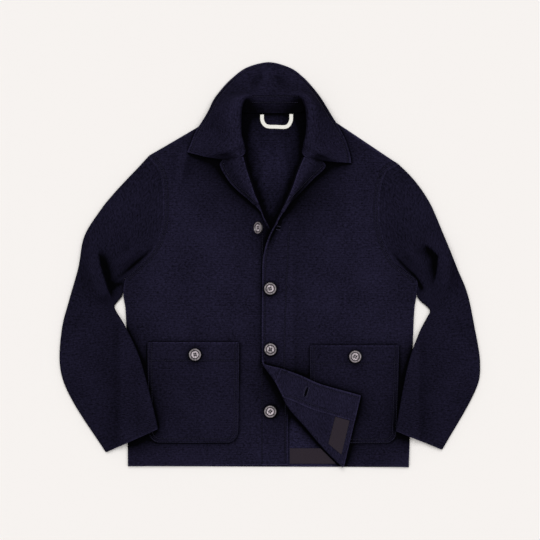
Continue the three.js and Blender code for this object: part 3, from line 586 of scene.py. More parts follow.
TUCKS = {  # the line of each elbow's tuck
    "right": np.array([(-336, 39), (-328, 0), (-315, -41), (-305, -70)], float),
    "left": np.array([(289, 49), (311, 33), (325, 19), (322, -14), (311, -62)], float),
}
PUFF = 3.2  # how far a sleeve's upper layer swells
TUCK_SHAPES = {"right": (9, -6, 24), "left": (6, -5, 20)}  # height, trough beside the line, its half width
TUCK_LIP = (-1.5, 2.5)  # the forearm's layer rises steeply across the tuck's line
TUCK_END = (6, 50)
OVER_FRONT = FRONT_Z + CLOTH + 2 * GAP
OVER_POCKET = LAYER + 0.4
OVER_BELOW_Y = (-100, -70)  # below these a sleeve lies on the front
CLIMB_BODY = (26, 4)  # mm short of an edge where a sleeve's climb onto it begins and ends
CLIMB_POCKET = (20, 4)
POCKETS = {
    "right": {"low": (-237, -62), "high": (-239, -60), "top": -148, "bottom": -344},
    "left": {"low": (78, 246), "high": (77, 251), "top": -154, "bottom": -345},
}
POCKET_CORNER = 23
POCKET_BULGE = 0.8
POCKET_FROM_FOLD = 12  # the left pocket stops short of the turned-up corner
BODY_SIDE_X = {"right": -278, "left": 275}
POCKET_SIDE_X = {"right": -239, "left": 251}


def sleeve_lift(name, plan):
    """Height of a sleeve's lower layer, and the share by which its swell is pressed flat at a tuck."""
    mirror = INWARD[name]
    x = mirror * plan[:, 0]
    body, pocket = mirror * BODY_SIDE_X[name], mirror * POCKET_SIDE_X[name]
    below = 1 - ease(plan[:, 1], *OVER_BELOW_Y)
    lift = OVER_FRONT * ease(x, body - CLIMB_BODY[0], body - CLIMB_BODY[1]) * below
    lift += OVER_POCKET * ease(x, pocket - CLIMB_POCKET[0], pocket - CLIMB_POCKET[1]) * below
    distance, hand, along = near_line(plan, TUCKS[name])
    s = -mirror * hand * distance
    fade = ease(along, 0, 0.3) * (1 - ease(along, 0.66, 1))
    height, trough, drawn = TUCK_SHAPES[name]
    lift += height * ease(s, *TUCK_LIP) * (1 - ease(s, *TUCK_END)) * fade
    dip = fade * (1 - ease(abs(s - trough), 0, drawn))
    return lift, dip


SLEEVE_RIM = np.array([0, 0.25, 0.8, 1.6, 2.9, 4.5])
SLEEVE_ACROSS = 46
SLEEVE_SECTIONS = 150
CUFF_AT = 18
CAP_MM, CUFF_MM = 22, 24  # length of a unit of the tables at either end
LEAST_HOLLOW = 0.12  # share of the hollow that is left where a sleeve's edge is folded
PRESSED = 1.15 * CLOTH  # both layers of a sleeve, where a crease presses them together
ARMHOLE_LAP = 0.4  # the seam's turnings, which leave no light between sleeve and body


def sleeve_section(name, at):
    """Outside and inside rings of one section of a sleeve, upper layer first."""
    rows = SLEEVES[name]
    out, inn, bow = spot(rows, "out", at), spot(rows, "in", at), follow(rows, "bow", at)
    width = np.linalg.norm(out - inn)
    t = spread(1, SLEEVE_ACROSS, SLEEVE_RIM / width, SLEEVE_RIM / width)
    plan = lerp(out, inn, t[:, None])
    if bow > 0:
        chord = lerp(side(name, 0.0), side(name, 1.0), t[:, None])
        plan += (side(name, t) - chord) * bow
        along = side(name, np.minimum(t + 0.05, 1)) - side(name, np.maximum(t - 0.05, 0))
        shift = ARMHOLE_LAP * (1 - ease(at, 0, 0.3)) * INWARD[name]
        plan += unit(left_of(along)) * shift
    lift, dip = sleeve_lift(name, plan)
    from_fold = np.minimum(t, 1 - t) * width
    bend = np.minimum(from_fold / SLEEVE_EDGE, 1)
    half = SLEEVE_EDGE * rounded(from_fold, SLEEVE_EDGE)
    swell = PUFF * ease(at, 0, 3) * np.sqrt(np.sin(np.pi * np.clip(t, 0, 1))) * (1 - dip) * bend
    middle = lift + SLEEVE_EDGE
    inner_half = np.maximum(half - CLOTH, LEAST_HOLLOW * bend)
    inset = CLOTH / width
    t_in = np.where(bend < 1, np.clip(t, inset + 0.25 * t, 1 - inset - 0.25 * (1 - t)), t)
    plan_in = lerp(out, inn, t_in[:, None]) + (plan - lerp(out, inn, t[:, None]))
    upper = np.column_stack([plan, middle + half + swell])
    lower = np.column_stack([plan, middle - half])
    upper_in = np.column_stack([plan_in, middle + inner_half + swell])
    lower_in = np.column_stack([plan_in, middle - inner_half])
    ring = np.vstack([upper, lower[-2:0:-1]])
    ring_in = np.vstack([upper_in, lower_in[-2:0:-1]])
    around = np.concatenate([t, 2 - t[-2:0:-1]]) * width
    return ring, ring_in, around


def sleeve_sheets(name, creases):
    """Outside and inside grids of a whole sleeve, ready for one shell."""
    stops = [np.linspace(0, CUFF_AT, SLEEVE_SECTIONS), RIM[1:] / CAP_MM, CUFF_AT - RIM[1:] / CUFF_MM]
    stops = np.unique(np.round(np.concatenate(stops), 4))
    sections = [sleeve_section(name, at) for at in stops]
    outside, inside = np.array([s[0] for s in sections]), np.array([s[1] for s in sections])
    around = np.array([s[2] for s in sections])
    down = walked(outside, 0)
    edge = np.minimum(down, down[-1] - down)
    last = outside.shape[1] // 2
    for grid, pressed in ((outside, PRESSED), (inside, PRESSED - CLOTH - 0.2)):
        lower = grid[:, :last:-1, 2]
        least = lower + np.minimum(grid[:, 1:last, 2] - lower, pressed)
        upper = creased(grid[:, 1:last].reshape(-1, 3), creases).reshape(len(stops), -1, 3)
        upper[..., 2] = np.maximum(upper[..., 2], least)
        grid[:, 1:last] = upper
    middle = (outside + inside) / 2
    half = (outside - inside) / 2 * rounded(edge, CLOTH / 2)[..., None]
    length = walked(middle.mean(1, keepdims=True), 0)
    uv = np.stack([around, np.broadcast_to(length, around.shape)], -1)
    ids = grid_ids(*around.shape)
    ids = np.column_stack([ids, ids[:, 0]])
    if name == "left":
        ids = ids[:, ::-1]
    return middle + half, middle - half, quads(ids), uv, edge


# Crevices: how far a place is shut in by the cloth that stands round it, which the wool materials paint as
# shade

CELL = 2.0
MARGIN = 40
REACHES = (2.5, 5, 8, 12, 17, 24, 33, 44, 58, 76, 98)
DIRECTIONS = 16
STEP_OVER = 1.4  # a rise of less than this shuts nothing in
DEEPEN = 1.9  # a soft cloth holds its shade deeper than its heights alone would
TOP_SHADE = 0.35  # how much more a wall towards the collar shuts in, as most light comes from there


def height_map(pieces):
    """Heights in mm of the highest cloth over a grid of square cells."""
    trees = [BVHTree.FromObject(piece, bpy.context.evaluated_depsgraph_get()) for piece in pieces]
    low, high = (np.array(corner[:2]) / MM for corner in CAD_BOX)
    low = low - MARGIN
    counts = np.ceil((high + MARGIN - low) / CELL).astype(int)
    heights = np.zeros(counts)
    for i in range(counts[0]):
        for j in range(counts[1]):
            hit = cast(trees, low + MIDDLE[:2] + (np.array([i, j]) + 0.5) * CELL)
            heights[i, j] = hit[0].z / MM if hit else 0
    return heights, low


def mark_hollows(pieces, walls):
    """Writes an attribute from 0, open, to 1, shut in, on every point of the pieces, which the wool paints as
    shade.
    """
    heights, low = height_map(pieces + walls)
    turns = np.arange(DIRECTIONS) * 2 * math.pi / DIRECTIONS
    for piece in pieces:
        mesh = piece.data
        places = np.empty(len(mesh.vertices) * 3, np.float32)
        mesh.vertices.foreach_get("co", places)
        places = places.reshape(-1, 3) / MM
        shut = np.zeros(len(places))
        for turn in turns:
            weight = (1 + TOP_SHADE * math.sin(turn)) / DIRECTIONS
            steepest = np.zeros(len(places))
            for reach in REACHES:
                at = places[:, :2] + reach * np.array([math.cos(turn), math.sin(turn)]) - low
                cell = np.clip((at / CELL).astype(int), 0, np.array(heights.shape) - 1)
                rise = heights[cell[:, 0], cell[:, 1]] - places[:, 2] - STEP_OVER
                steepest = np.maximum(steepest, DEEPEN * rise / reach)
            shut += weight * steepest / np.hypot(steepest, 1)
        mesh.attributes.new("hollow", "FLOAT", "POINT").data.foreach_set("value", shut.astype(np.float32))


# Materials

def linear(code):
    """An sRGB hex colour as linear red, green, blue and alpha."""
    channels = [int(code[i:i + 2], 16) / 255 for i in (1, 3, 5)]
    return [c / 12.92 if c <= 0.04045 else ((c + 0.055) / 1.055) ** 2.4 for c in channels] + [1.0]


def add_node(tree, kind, inputs, **settings):
    """Adds a node, sets its properties, fills its inputs with values or links, and gives its outputs."""
    made = tree.nodes.new(f"ShaderNode{kind}")
    for key, value in settings.items():
        setattr(made, key, value)
    for key, value in inputs.items():
        if isinstance(value, bpy.types.NodeSocket):
            tree.links.new(value, made.inputs[key])
        else:
            made.inputs[key].default_value = value
    return made.outputs


def new_material(name):
    """An empty material and its tree."""
    made = bpy.data.materials.new(name)
    made.use_nodes = True
    made.node_tree.nodes.clear()
    return made, made.node_tree


MIX_FACTOR, MIX_A, MIX_B, MIX_RESULT = 0, 6, 7, 2  # colour sockets of a Mix node
WAVE = 0.314  # a wave texture's scale for one band in a unit of length

# Wool fibres, yarns and twill are finer than the render shows, so their patterns are drawn
# as coarse as they need to show.


def wool(name, dark, light, seed, open_at=0.01, shut_at=0.36):
    """Boiled wool: knitted, then felted. Its fibres are mottled and stand off it as a fine nap."""
    fibre_mm, yarn_mm, heather_mm, rib_mm, broad_mm, nap_mm, pull_mm = 1.6, 2.4, 4.2, 4.4, 60, 0.5, 0.6
    made, tree = new_material(name)
    uv = add_node(tree, "UVMap", {}, uv_map="cloth")["UV"]
    place = add_node(tree, "Mapping", {"Vector": uv, "Location": (seed, seed * 0.7, 0)})["Vector"]
    drawn = add_node(tree, "Mapping", {"Vector": place, "Scale": (0.35, 1, 1)})["Vector"]
    fibre, heather, yarn, broad = (
        add_node(tree, "TexNoise", {"Vector": where, "Scale": 1 / (size * MM), "Detail": detail,
                                    "Roughness": roughness})["Fac"]
        for where, size, detail, roughness in ((place, fibre_mm, 3, 0.7), (place, heather_mm, 2, 0.75),
                                               (drawn, yarn_mm, 2, 0.5), (place, broad_mm, 2, 0.5)))
    rib = add_node(tree, "TexWave", {"Vector": place, "Scale": WAVE / (rib_mm * MM), "Distortion": 2.5,
                                     "Detail": 2, "Detail Scale": 1.5}, bands_direction="Y")["Fac"]
    mottle = pile = 0.0
    for pattern, share in ((heather, 0.42), (fibre, 0.34), (yarn, 0.22), (broad, 0.12), (rib, 0.03)):
        mottle = add_node(tree, "Math", {0: pattern, 1: share, 2: mottle}, operation="MULTIPLY_ADD")[0]
    for pattern, share in ((fibre, 0.5), (heather, 0.3), (rib, 0.1)):
        pile = add_node(tree, "Math", {0: pattern, 1: share, 2: pile}, operation="MULTIPLY_ADD")[0]
    shade = add_node(tree, "MapRange", {"Value": mottle, "From Min": 0.43, "From Max": 0.7})[0]
    colour = add_node(tree, "Mix", {MIX_FACTOR: shade, MIX_A: dark, MIX_B: light},
                      data_type="RGBA")[MIX_RESULT]

    # Painted light on the wool: darkened along the stitch grooves as painted shade, lightened near its free
    # edges as a painted highlight, and darkened where the cloth is shut in as painted crevice shade.
    stitch, edge, hollow = (add_node(tree, "Attribute", {}, attribute_name=mark)["Fac"]
                            for mark in ("stitch_mm", "edge_mm", "hollow"))
    groove, rim = (
        add_node(tree, "MapRange", {"Value": mark, "From Min": near, "From Max": far, "To Min": tone},
                 interpolation_type="SMOOTHSTEP")[0]
        for mark, near, far, tone in ((stitch, 0.3, 2.4, 0.42), (edge, 0.8, 3.8, 1.7)))
    shut = add_node(tree, "MapRange", {"Value": hollow, "From Min": open_at, "From Max": shut_at,
                                       "To Min": 1.0, "To Max": 0.05})[0]
    tone = add_node(tree, "Math", {0: groove, 1: rim}, operation="MULTIPLY")[0]
    tone = add_node(tree, "Math", {0: tone, 1: shut}, operation="MULTIPLY")[0]
    # The mottled colour with the painted shade and the painted highlight multiplied in.
    painted_light_colour = add_node(tree, "VectorMath", {0: colour, "Scale": tone}, operation="SCALE")["Vector"]

    nap = add_node(tree, "Bump", {"Height": pile, "Strength": 0.9, "Distance": nap_mm * MM})["Normal"]
    pulled = add_node(tree, "Bump", {"Height": groove, "Strength": 0.8, "Distance": pull_mm * MM,
                                     "Normal": nap})["Normal"]
    shader = add_node(tree, "BsdfPrincipled", {
        "Base Color": painted_light_colour, "Normal": pulled, "Roughness": 0.95, "Specular IOR Level": 0.03,
        "Sheen Weight": 0.03, "Sheen Roughness": 0.5, "Sheen Tint": linear("#7f7ab0")})["BSDF"]
    add_node(tree, "OutputMaterial", {"Surface": shader})
    return made


def woven_tape(name, dark, light, rib_mm, slant):
    """Cotton tape: a tight twill or rib of spun yarn, matt, with a little slub."""
    slub_mm, raised_mm = 2.5, 0.25
    made, tree = new_material(name)
    uv = add_node(tree, "UVMap", {}, uv_map="cloth")["UV"]
    turned = add_node(tree, "Mapping", {"Vector": uv, "Rotation": (0, 0, slant)})["Vector"]
    rib = add_node(tree, "TexWave", {"Vector": turned, "Scale": WAVE / (rib_mm * MM), "Distortion": 0.4,
                                     "Detail": 1})["Fac"]
    slub = add_node(tree, "TexNoise", {"Vector": uv, "Scale": 1 / (slub_mm * MM), "Detail": 3})["Fac"]
    shade = add_node(tree, "Math", {0: rib, 1: 0.4, 2: slub}, operation="MULTIPLY_ADD")[0]
    shade = add_node(tree, "MapRange", {"Value": shade, "From Min": 0.35, "From Max": 1.0})[0]
    colour = add_node(tree, "Mix", {MIX_FACTOR: shade, MIX_A: dark, MIX_B: light},
                      data_type="RGBA")[MIX_RESULT]
    bump = add_node(tree, "Bump", {"Height": rib, "Strength": 0.7, "Distance": raised_mm * MM})["Normal"]
    shader = add_node(tree, "BsdfPrincipled", {"Base Color": colour, "Normal": bump, "Roughness": 0.85,
                                               "Specular IOR Level": 0.25, "Sheen Weight": 0.05})["BSDF"]
    add_node(tree, "OutputMaterial", {"Surface": shader})
    return made


def horn(name, dark, light):
    """Horn: sawn, turned and polished, with streaks. Its raised rim and dish carry painted highlights, the
    groove between is dark, and its outer edge has painted shadow.
    """
    thread_mm, groove_mm, rim_mm, outside_mm = (2.2, 4.4), (6.5, 7.3), (8.3, 9.3), (10.7, 11.6)
    streak_mm = 2.6
    made, tree = new_material(name)
    place = add_node(tree, "TexCoord", {})["Object"]
    grain = add_node(tree, "Mapping", {"Vector": place, "Scale": (1, 0.4, 1)})["Vector"]
    streak = add_node(tree, "TexNoise", {"Vector": grain, "Scale": 1 / (streak_mm * MM), "Detail": 4,
                                         "Distortion": 0.8})["Fac"]
    ring = add_node(tree, "Attribute", {}, attribute_name="from_middle_mm")["Fac"]
    # Ring by ring from the middle: darker round the holes, painted highlights on the dish and the raised rim,
    # and painted shadow at the outer edge; the streaks are the horn's own.
    darker_middle, dish, rim, outside, veins = (
        add_node(tree, "MapRange", {"Value": value, "From Min": low, "From Max": high, "To Min": first,
                                    "To Max": last})[0]
        for value, (low, high), first, last in (
            (ring, thread_mm, 0.3, 1.0), (ring, groove_mm, 1.0, 0.0), (ring, rim_mm, 0.0, 0.5),
            (ring, outside_mm, 1.0, 0.05), (streak, (0.36, 0.6), 0.25, 1.0)))
    rim = add_node(tree, "Math", {0: rim, 1: outside}, operation="MULTIPLY")[0]
    dish = add_node(tree, "Math", {0: dish, 1: darker_middle}, operation="MULTIPLY")[0]
    shine = add_node(tree, "Math", {0: dish, 1: rim}, operation="MAXIMUM")[0]
    shade = add_node(tree, "Math", {0: shine, 1: veins}, operation="MULTIPLY")[0]
    colour = add_node(tree, "Mix", {MIX_FACTOR: shade, MIX_A: dark, MIX_B: light},
                      data_type="RGBA")[MIX_RESULT]
    bump = add_node(tree, "Bump", {"Height": streak, "Strength": 0.3, "Distance": 0.2 * MM})["Normal"]
    shader = add_node(tree, "BsdfPrincipled", {
        "Base Color": colour, "Normal": bump, "Roughness": 0.22, "IOR": 1.54, "Coat Weight": 0.6,
        "Coat Roughness": 0.1})["BSDF"]
    add_node(tree, "OutputMaterial", {"Surface": shader})
    return made


def sewing_thread(name, colour):
    """Spun polyester thread: fine plies twisted together, with a soft shine along them."""
    ply_mm = 0.6
    made, tree = new_material(name)
    place = add_node(tree, "TexCoord", {})["Object"]
    ply = add_node(tree, "TexNoise", {"Vector": place, "Scale": 1 / (ply_mm * MM), "Detail": 1})["Fac"]
    bump = add_node(tree, "Bump", {"Height": ply, "Strength": 0.5, "Distance": 0.1 * MM})["Normal"]
    shade = add_node(tree, "MapRange", {"Value": ply, "To Min": 0.7, "To Max": 1.3})[0]
    plied = add_node(tree, "VectorMath", {0: colour[:3], "Scale": shade}, operation="SCALE")["Vector"]
    shader = add_node(tree, "BsdfPrincipled", {"Base Color": plied, "Normal": bump, "Roughness": 0.6,
                                               "Specular IOR Level": 0.3})["BSDF"]
    add_node(tree, "OutputMaterial", {"Surface": shader})
    return made


def painted_board(name, colour):
    """Painted board: rolled matt emulsion, even and almost without texture."""
    roll_mm = 2
    made, tree = new_material(name)
    place = add_node(tree, "TexCoord", {})["Object"]
    roll = add_node(tree, "TexNoise", {"Vector": place, "Scale": 1 / (roll_mm * MM)})["Fac"]
    bump = add_node(tree, "Bump", {"Height": roll, "Strength": 0.05, "Distance": 0.1 * MM})["Normal"]
    shader = add_node(tree, "BsdfPrincipled", {"Base Color": colour, "Normal": bump, "Roughness": 0.9,
                                               "Specular IOR Level": 0.1})["BSDF"]
    add_node(tree, "OutputMaterial", {"Surface": shader})
    return made


def length_prop(name, description, size_mm):
    return FloatProperty(name=name, description=description, default=size_mm * MM, unit="LENGTH")


def colour_prop(name, description, code):
    return FloatVectorProperty(name=name, description=description, default=linear(code), size=4,
                               subtype="COLOR")


class JacketSizes(bpy.types.PropertyGroup):
    """Sizes that a maker would change."""
    stitch: length_prop("Stitch", "Length of one stitch with its gap", 3.2)
    thread: length_prop("Thread", "Width of the sewing thread", 0.6)
    topstitch: length_prop("Topstitch", "From a finished edge to its row of stitches", 6.0)


class JacketColours(bpy.types.PropertyGroup):
    """Colours of the cloth, trim and floor."""
    wool_dark: colour_prop("Wool, dark fibres", "Darkest of the mottled wool", "#07060d")
    wool_light: colour_prop("Wool, light fibres", "Lightest of the mottled wool", "#252238")
    inside_dark: colour_prop("Inside, dark fibres", "Darkest of the wool inside", "#08070d")
    inside_light: colour_prop("Inside, light fibres", "Lightest of the wool inside", "#2b2842")
    tape: colour_prop("Hem tape", "Cotton twill tape", "#281f29")
    loop: colour_prop("Hanger loop", "Undyed cotton tape", "#fffcf4")
    # The buttons' painted highlights on dish and rim take the pale horn colour, and their painted shadow at
    # the outer edge takes the dark one.
    horn: colour_prop("Buttons, grooves", "Dark streaks and grooves of the horn", "#0d0a0c")
    horn_light: colour_prop("Buttons, polished", "Pale streaks of the horn", "#d2c5cc")
    thread: colour_prop("Thread", "Sewing thread, dyed to match the wool", "#232038")
    floor: colour_prop("Floor", "Painted board under the jacket", "#f9f5f2")


MATERIALS = {}  # the finishes made so far
SLEEVE_SHADE = 0.74  # a darker copy of the wool for the sleeves, as painted shade: the light is stronger over the chest
# a darker copy of the wool for the pockets, as painted shade: the lower part of the jacket is drawn darker
POCKET_SHADE = 0.85
# a lighter copy of the wool for the collar, as painted light: most light comes from the collar's side
COLLAR_LIGHT = 1.04
INSIDE_SHUT = (0.25, 0.47)  # crevice shade at which the wool begins to darken, and is dark
# the collar's own range of painted crevice shade
COLLAR_SHUT = (0.02, 0.4)


def toned(colour, tone):
    return [channel * tone for channel in colour[:3]] + [1]


def material(name):
    """A named finish, made once."""
    colours = bpy.context.scene.jacket_colours
    dark, light = colours.wool_dark, colours.wool_light
    makers = {
        "wool": lambda: wool("boiled_wool", dark, light, 0.31),
        # Sleeves: a darker copy of the wool, painted shade.
        "sleeve": lambda: wool("boiled_wool_sleeve_shaded", toned(dark, SLEEVE_SHADE),
                               toned(light, SLEEVE_SHADE), 0.53),
        # Pockets: a darker copy of the wool, painted shade.
        "pocket": lambda: wool("boiled_wool_pocket_shaded", toned(dark, POCKET_SHADE),
                               toned(light, POCKET_SHADE), 0.19),
        "inside": lambda: wool("boiled_wool_inside", colours.inside_dark, colours.inside_light, 0.77,
                               *INSIDE_SHUT),
        # Collar: a lighter copy of the wool, painted light, with its own painted crevice shade.
        "collar": lambda: wool("boiled_wool_collar_lit", dark, toned(light, COLLAR_LIGHT), 0.41, *COLLAR_SHUT),
        "tape": lambda: woven_tape("cotton_twill", toned(colours.tape, 0.7), colours.tape, 1.6, 0.8),
        "loop": lambda: woven_tape("cotton_webbing", toned(colours.loop, 0.82), colours.loop, 1.2, 0.0),
        "horn": lambda: horn("polished_horn", colours.horn, colours.horn_light),
        "thread": lambda: sewing_thread("spun_thread", colours.thread),
        # The thread on the buttons is drawn near black as painted shade, as dark as the shaded holes.
        "shank": lambda: sewing_thread("darkened_thread", toned(colours.thread, 0.25)),
        "floor": lambda: painted_board("painted_board", colours.floor),
    }
    if name not in MATERIALS:
        MATERIALS[name] = makers[name]()
    return MATERIALS[name]


def dressed(piece, node, finish):
    """Gives a cloth piece its finish, hangs it on the root body and hides the CAD part that it stands for."""
    piece.data.materials.append(material(finish))
    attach(piece, "root")
    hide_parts(node)
    return piece


# Sewing

STITCHES = {}  # rows of stitches by piece: lines in plan, in mm
STITCH_SHARE = 0.88  # how much of a row's pitch is thread, and the rest is the gap
STITCH_SHAPE = ((-0.5, 0.25), (-0.22, 1), (0.22, 1), (0.5, 0.25))  # places along a stitch, and its girth
STITCH_GIRTH = 0.62
STITCH_FLATNESS = 0.8
STITCH_RISE = 0.15


def stitch_mesh(name, targets, rows):
    """One joined mesh of thread stitches that lie on the pieces, along rows of stitches in plan."""
    sizes = bpy.context.scene.jacket_sizes
    pitch, width = sizes.stitch / MM, sizes.thread / MM
    reach = pitch * STITCH_SHARE / 2
    trees = [BVHTree.FromObject(target, bpy.context.evaluated_depsgraph_get()) for target in targets]
    ring = [(math.cos(a), math.sin(a)) for a in np.arange(4) * math.pi / 2 + math.pi / 4]
    points, faces = [], []
    for row in rows:
        row = np.asarray(row, float)
        along = walked(row, 0)
        for start in np.arange(pitch / 2, along[-1] - pitch / 2, pitch):
            ends = np.array([[np.interp(start + d, along, row[:, k]) for k in range(2)]
                             for d in (-reach, reach)])
            hits = [cast(trees, p) for p in ends]
            if None in hits:
                continue
            a, b = (np.array(h[0]) for h in hits)
            up = np.array(hits[0][1])
            sideways = np.cross(up, unit(b - a))
            first = len(points)
            for share, girth in STITCH_SHAPE:
                size = width * girth * MM
                centre = lerp(a, b, share + 0.5) + up * size * STITCH_RISE
                for c, s in ring:
                    points.append(centre + (sideways * c + up * s * STITCH_FLATNESS) * size * STITCH_GIRTH)
            for k in range(len(STITCH_SHAPE) - 1):
                for j in range(4):
                    p, q = first + 4 * k + j, first + 4 * k + (j + 1) % 4
                    faces.append((p, q, q + 4, p + 4))
            last = first + 4 * (len(STITCH_SHAPE) - 1)
            faces.append((first + 3, first + 2, first + 1, first))
            faces.append((last, last + 1, last + 2, last + 3))
    mesh = bpy.data.meshes.new(name)
    mesh.from_pydata([tuple(p) for p in points], [], faces)
    mesh.polygons.foreach_set("use_smooth", np.ones(len(mesh.polygons), bool))
    mesh.materials.append(material("thread"))
    piece = bpy.data.objects.new(name, mesh)
    bpy.context.scene.collection.objects.link(piece)
    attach(piece, "root")
    return piece


SKY = 0.2  # metres up, from where rays are cast down on the jacket


def cast(trees, plan):
    """The highest place and its normal on some pieces at a plan point in mm, seen from above."""
    origin = Vector((*((plan - MIDDLE[:2]) * MM), SKY))
    hits = [tree.ray_cast(origin, Vector((0, 0, -1))) for tree in trees]
    hits = [(h[0], h[1]) for h in hits if h[0] is not None]
    return max(hits, key=lambda h: h[0].z) if hits else None


PIECES = {}  # the sheets of the fronts, which the facings lie on


class JACKET_OT_back(bpy.types.Operator):
    """Cut the back panel, which lies flat under everything"""
    bl_idname = "jacket.back"
    bl_label = "Back"

    def execute(self, context):
        above, below, wide = 240, 367, 540  # length of the sides above and below the underarm, and the width
        rows = np.concatenate([spread(1, 60, RIM / above, RIM[:1]),
                               1 + spread(1, 80, RIM[:1], RIM / below)[1:]])
        columns = spread(1, 110, RIM / wide, RIM / wide)
        top = lerp(side("right", 0.0), side("left", 0.0), columns[:, None])
        grid = []
        for at in rows:
            across = lerp(side("right", at), side("left", at), columns[:, None])
            neck = (spot(NECK, "", columns) - top) * max(0, 1 - at) ** 2
            grid.append(np.column_stack([across + neck, np.zeros(len(columns))]))
        dressed(grid_sheet("back", np.array(grid), CLOTH), "back", "inside")
        return {"FINISHED"}


class JACKET_OT_fronts(bpy.types.Operator):
    """Cut both fronts, roll the lapels and turn up the left one's corner"""
    bl_idname = "jacket.fronts"
    bl_label = "Fronts"

    def execute(self, context):
        for name in ("right", "left"):
            sheet = front_sheet(name, CREASES[f"front_{name}"])
            PIECES[name] = sheet
            piece = cloth_sheet(f"front_{name}_cloth", sheet["points"], sheet["faces"], sheet["uv"],
                                sheet["edge"], 0, CLOTH, STITCHES[f"front_{name}"])
            dressed(piece, f"front_{name}", "wool")
        return {"FINISHED"}


class JACKET_OT_facings(bpy.types.Operator):
    """Lay the facings and the hem tape on the inside of the turned fronts"""
    bl_idname = "jacket.facings"
    bl_label = "Facings and hem tape"

    def execute(self, context):
        patches = {
            "facing_right_lapel": ("right", GORGE, LAPEL_END, 0, None, FACING, "wool"),
            "facing_left_lapel": ("left", GORGE, LAPEL_END, 0, None, FACING, "wool"),
            "facing_left_corner": ("left", CORNER_AT, 2, 0, FACING_WIDTH, FACING, "wool"),
            "hem_tape_left": ("left", HEM_TAPE[0], HEM_TAPE[1], FACING_WIDTH + 1, None, TAPE, "tape"),
        }
        for node, (name, low, high, start, end, thick, finish) in patches.items():
            points, faces, plan, edge = band_patch(PIECES[name], low, high, start, end, 3)
            piece = cloth_sheet(f"{node}_cloth", points, faces, plan, edge, -(thick + GAP), -GAP,
                                STITCHES.get(node, ()))
            dressed(piece, node, finish)
        return {"FINISHED"}


class JACKET_OT_collar(bpy.types.Operator):
    """Roll the collar round the neck, stand and fall in one"""
    bl_idname = "jacket.collar"
    bl_label = "Collar"

    def execute(self, context):
        row_mm, fall_mm = 33, 90  # length of one row's share of the neck, and from the seam to the edge
        places = spread(COLLAR["at"][-1], 200, RIM / row_mm, RIM / row_mm)
        shares = spread(1, 42, RIM / fall_mm, RIM / fall_mm)
        grid = np.array([collar_section(at, shares) for at in places])
        points = creased(grid.reshape(-1, 3), CREASES["collar"])
        points[:, 2] = np.maximum(points[:, 2], GAP)
        grid = points.reshape(grid.shape)
        across, down = walked(grid, 1), walked(grid, 0)
        gorge = (places < GORGE_ROWS[0]) | (places > GORGE_ROWS[1])
        edge = from_edges(across + np.where(gorge, FAR_OFF, 0)[:, None], down)
        uv = np.stack([np.broadcast_to(down.mean(1, keepdims=True), across.shape), across], -1)
        piece = grid_sheet("collar", grid, CLOTH, uv, edge)
        dressed(piece, "collar", "collar")
        return {"FINISHED"}


class JACKET_OT_sleeves(bpy.types.Operator):
    """Close both sleeves into flattened tubes, with a tuck at each elbow"""
    bl_idname = "jacket.sleeves"
    bl_label = "Sleeves"

    def execute(self, context):
        for name in ("right", "left"):
            outer, inner, faces, uv, edge = sleeve_sheets(name, CREASES[f"sleeve_{name}"])
            flat = outer.reshape(-1, 3)
            marks = {"stitch_mm": np.full(len(flat), FAR_OFF), "edge_mm": np.minimum(edge.ravel(), FAR_OFF)}
            piece = shell(f"sleeve_{name}_cloth", flat, inner.reshape(-1, 3), faces, uv.reshape(-1, 2), marks)
            dressed(piece, f"sleeve_{name}", "sleeve")
        return {"FINISHED"}


def fold_x(y):
    """Where the left front's turned-up corner is folded, at a height in the picture."""
    rows = FRONTS["left"]
    turned = rows["at"] >= CORNER_AT
    return np.interp(-y, -rows["foldY"][turned], rows["foldX"][turned])


class JACKET_OT_pockets(bpy.types.Operator):
    """Sew the two patch pockets on, round at their lower corners"""
    bl_idname = "jacket.pockets"
    bl_label = "Pockets"

    def execute(self, context):
        for name, shape in POCKETS.items():
            tall = shape["top"] - shape["bottom"]
            shares = spread(tall, 74) / tall
            grid = []
            for f in shares:
                y = lerp(shape["top"], shape["bottom"], f)
                over = max(0, POCKET_CORNER - (y - shape["bottom"]))
                inset = POCKET_CORNER - math.sqrt(POCKET_CORNER**2 - over**2)
                left = lerp(shape["high"][0], shape["low"][0], f) + inset
                if name == "left":
                    left = max(left, fold_x(y) + POCKET_FROM_FOLD)
                right = lerp(shape["high"][1], shape["low"][1], f) - inset
                t = spread(right - left, 66) / (right - left)
                bulge = POCKET_BULGE * np.sin(np.pi * t) * math.sin(math.pi * (0.1 + 0.9 * f))
                grid.append(np.column_stack([lerp(left, right, t), np.full(len(t), y), POCKET_Z + bulge]))
            dressed(grid_sheet(f"pocket_{name}", np.array(grid), CLOTH), f"pocket_{name}", "pocket")
        return {"FINISHED"}


TAPE_BACK = {"from": UNDER_EDGE_X + 3, "to": 98, "top": -355, "wide": 30}  # its end follows the corner's fold
LOOP = np.array([(-16, 295), (-15, 282), (-8, 273), (12, 271), (33, 272), (40, 282), (41, 296)], float)
LOOP_WIDTH = 7.4


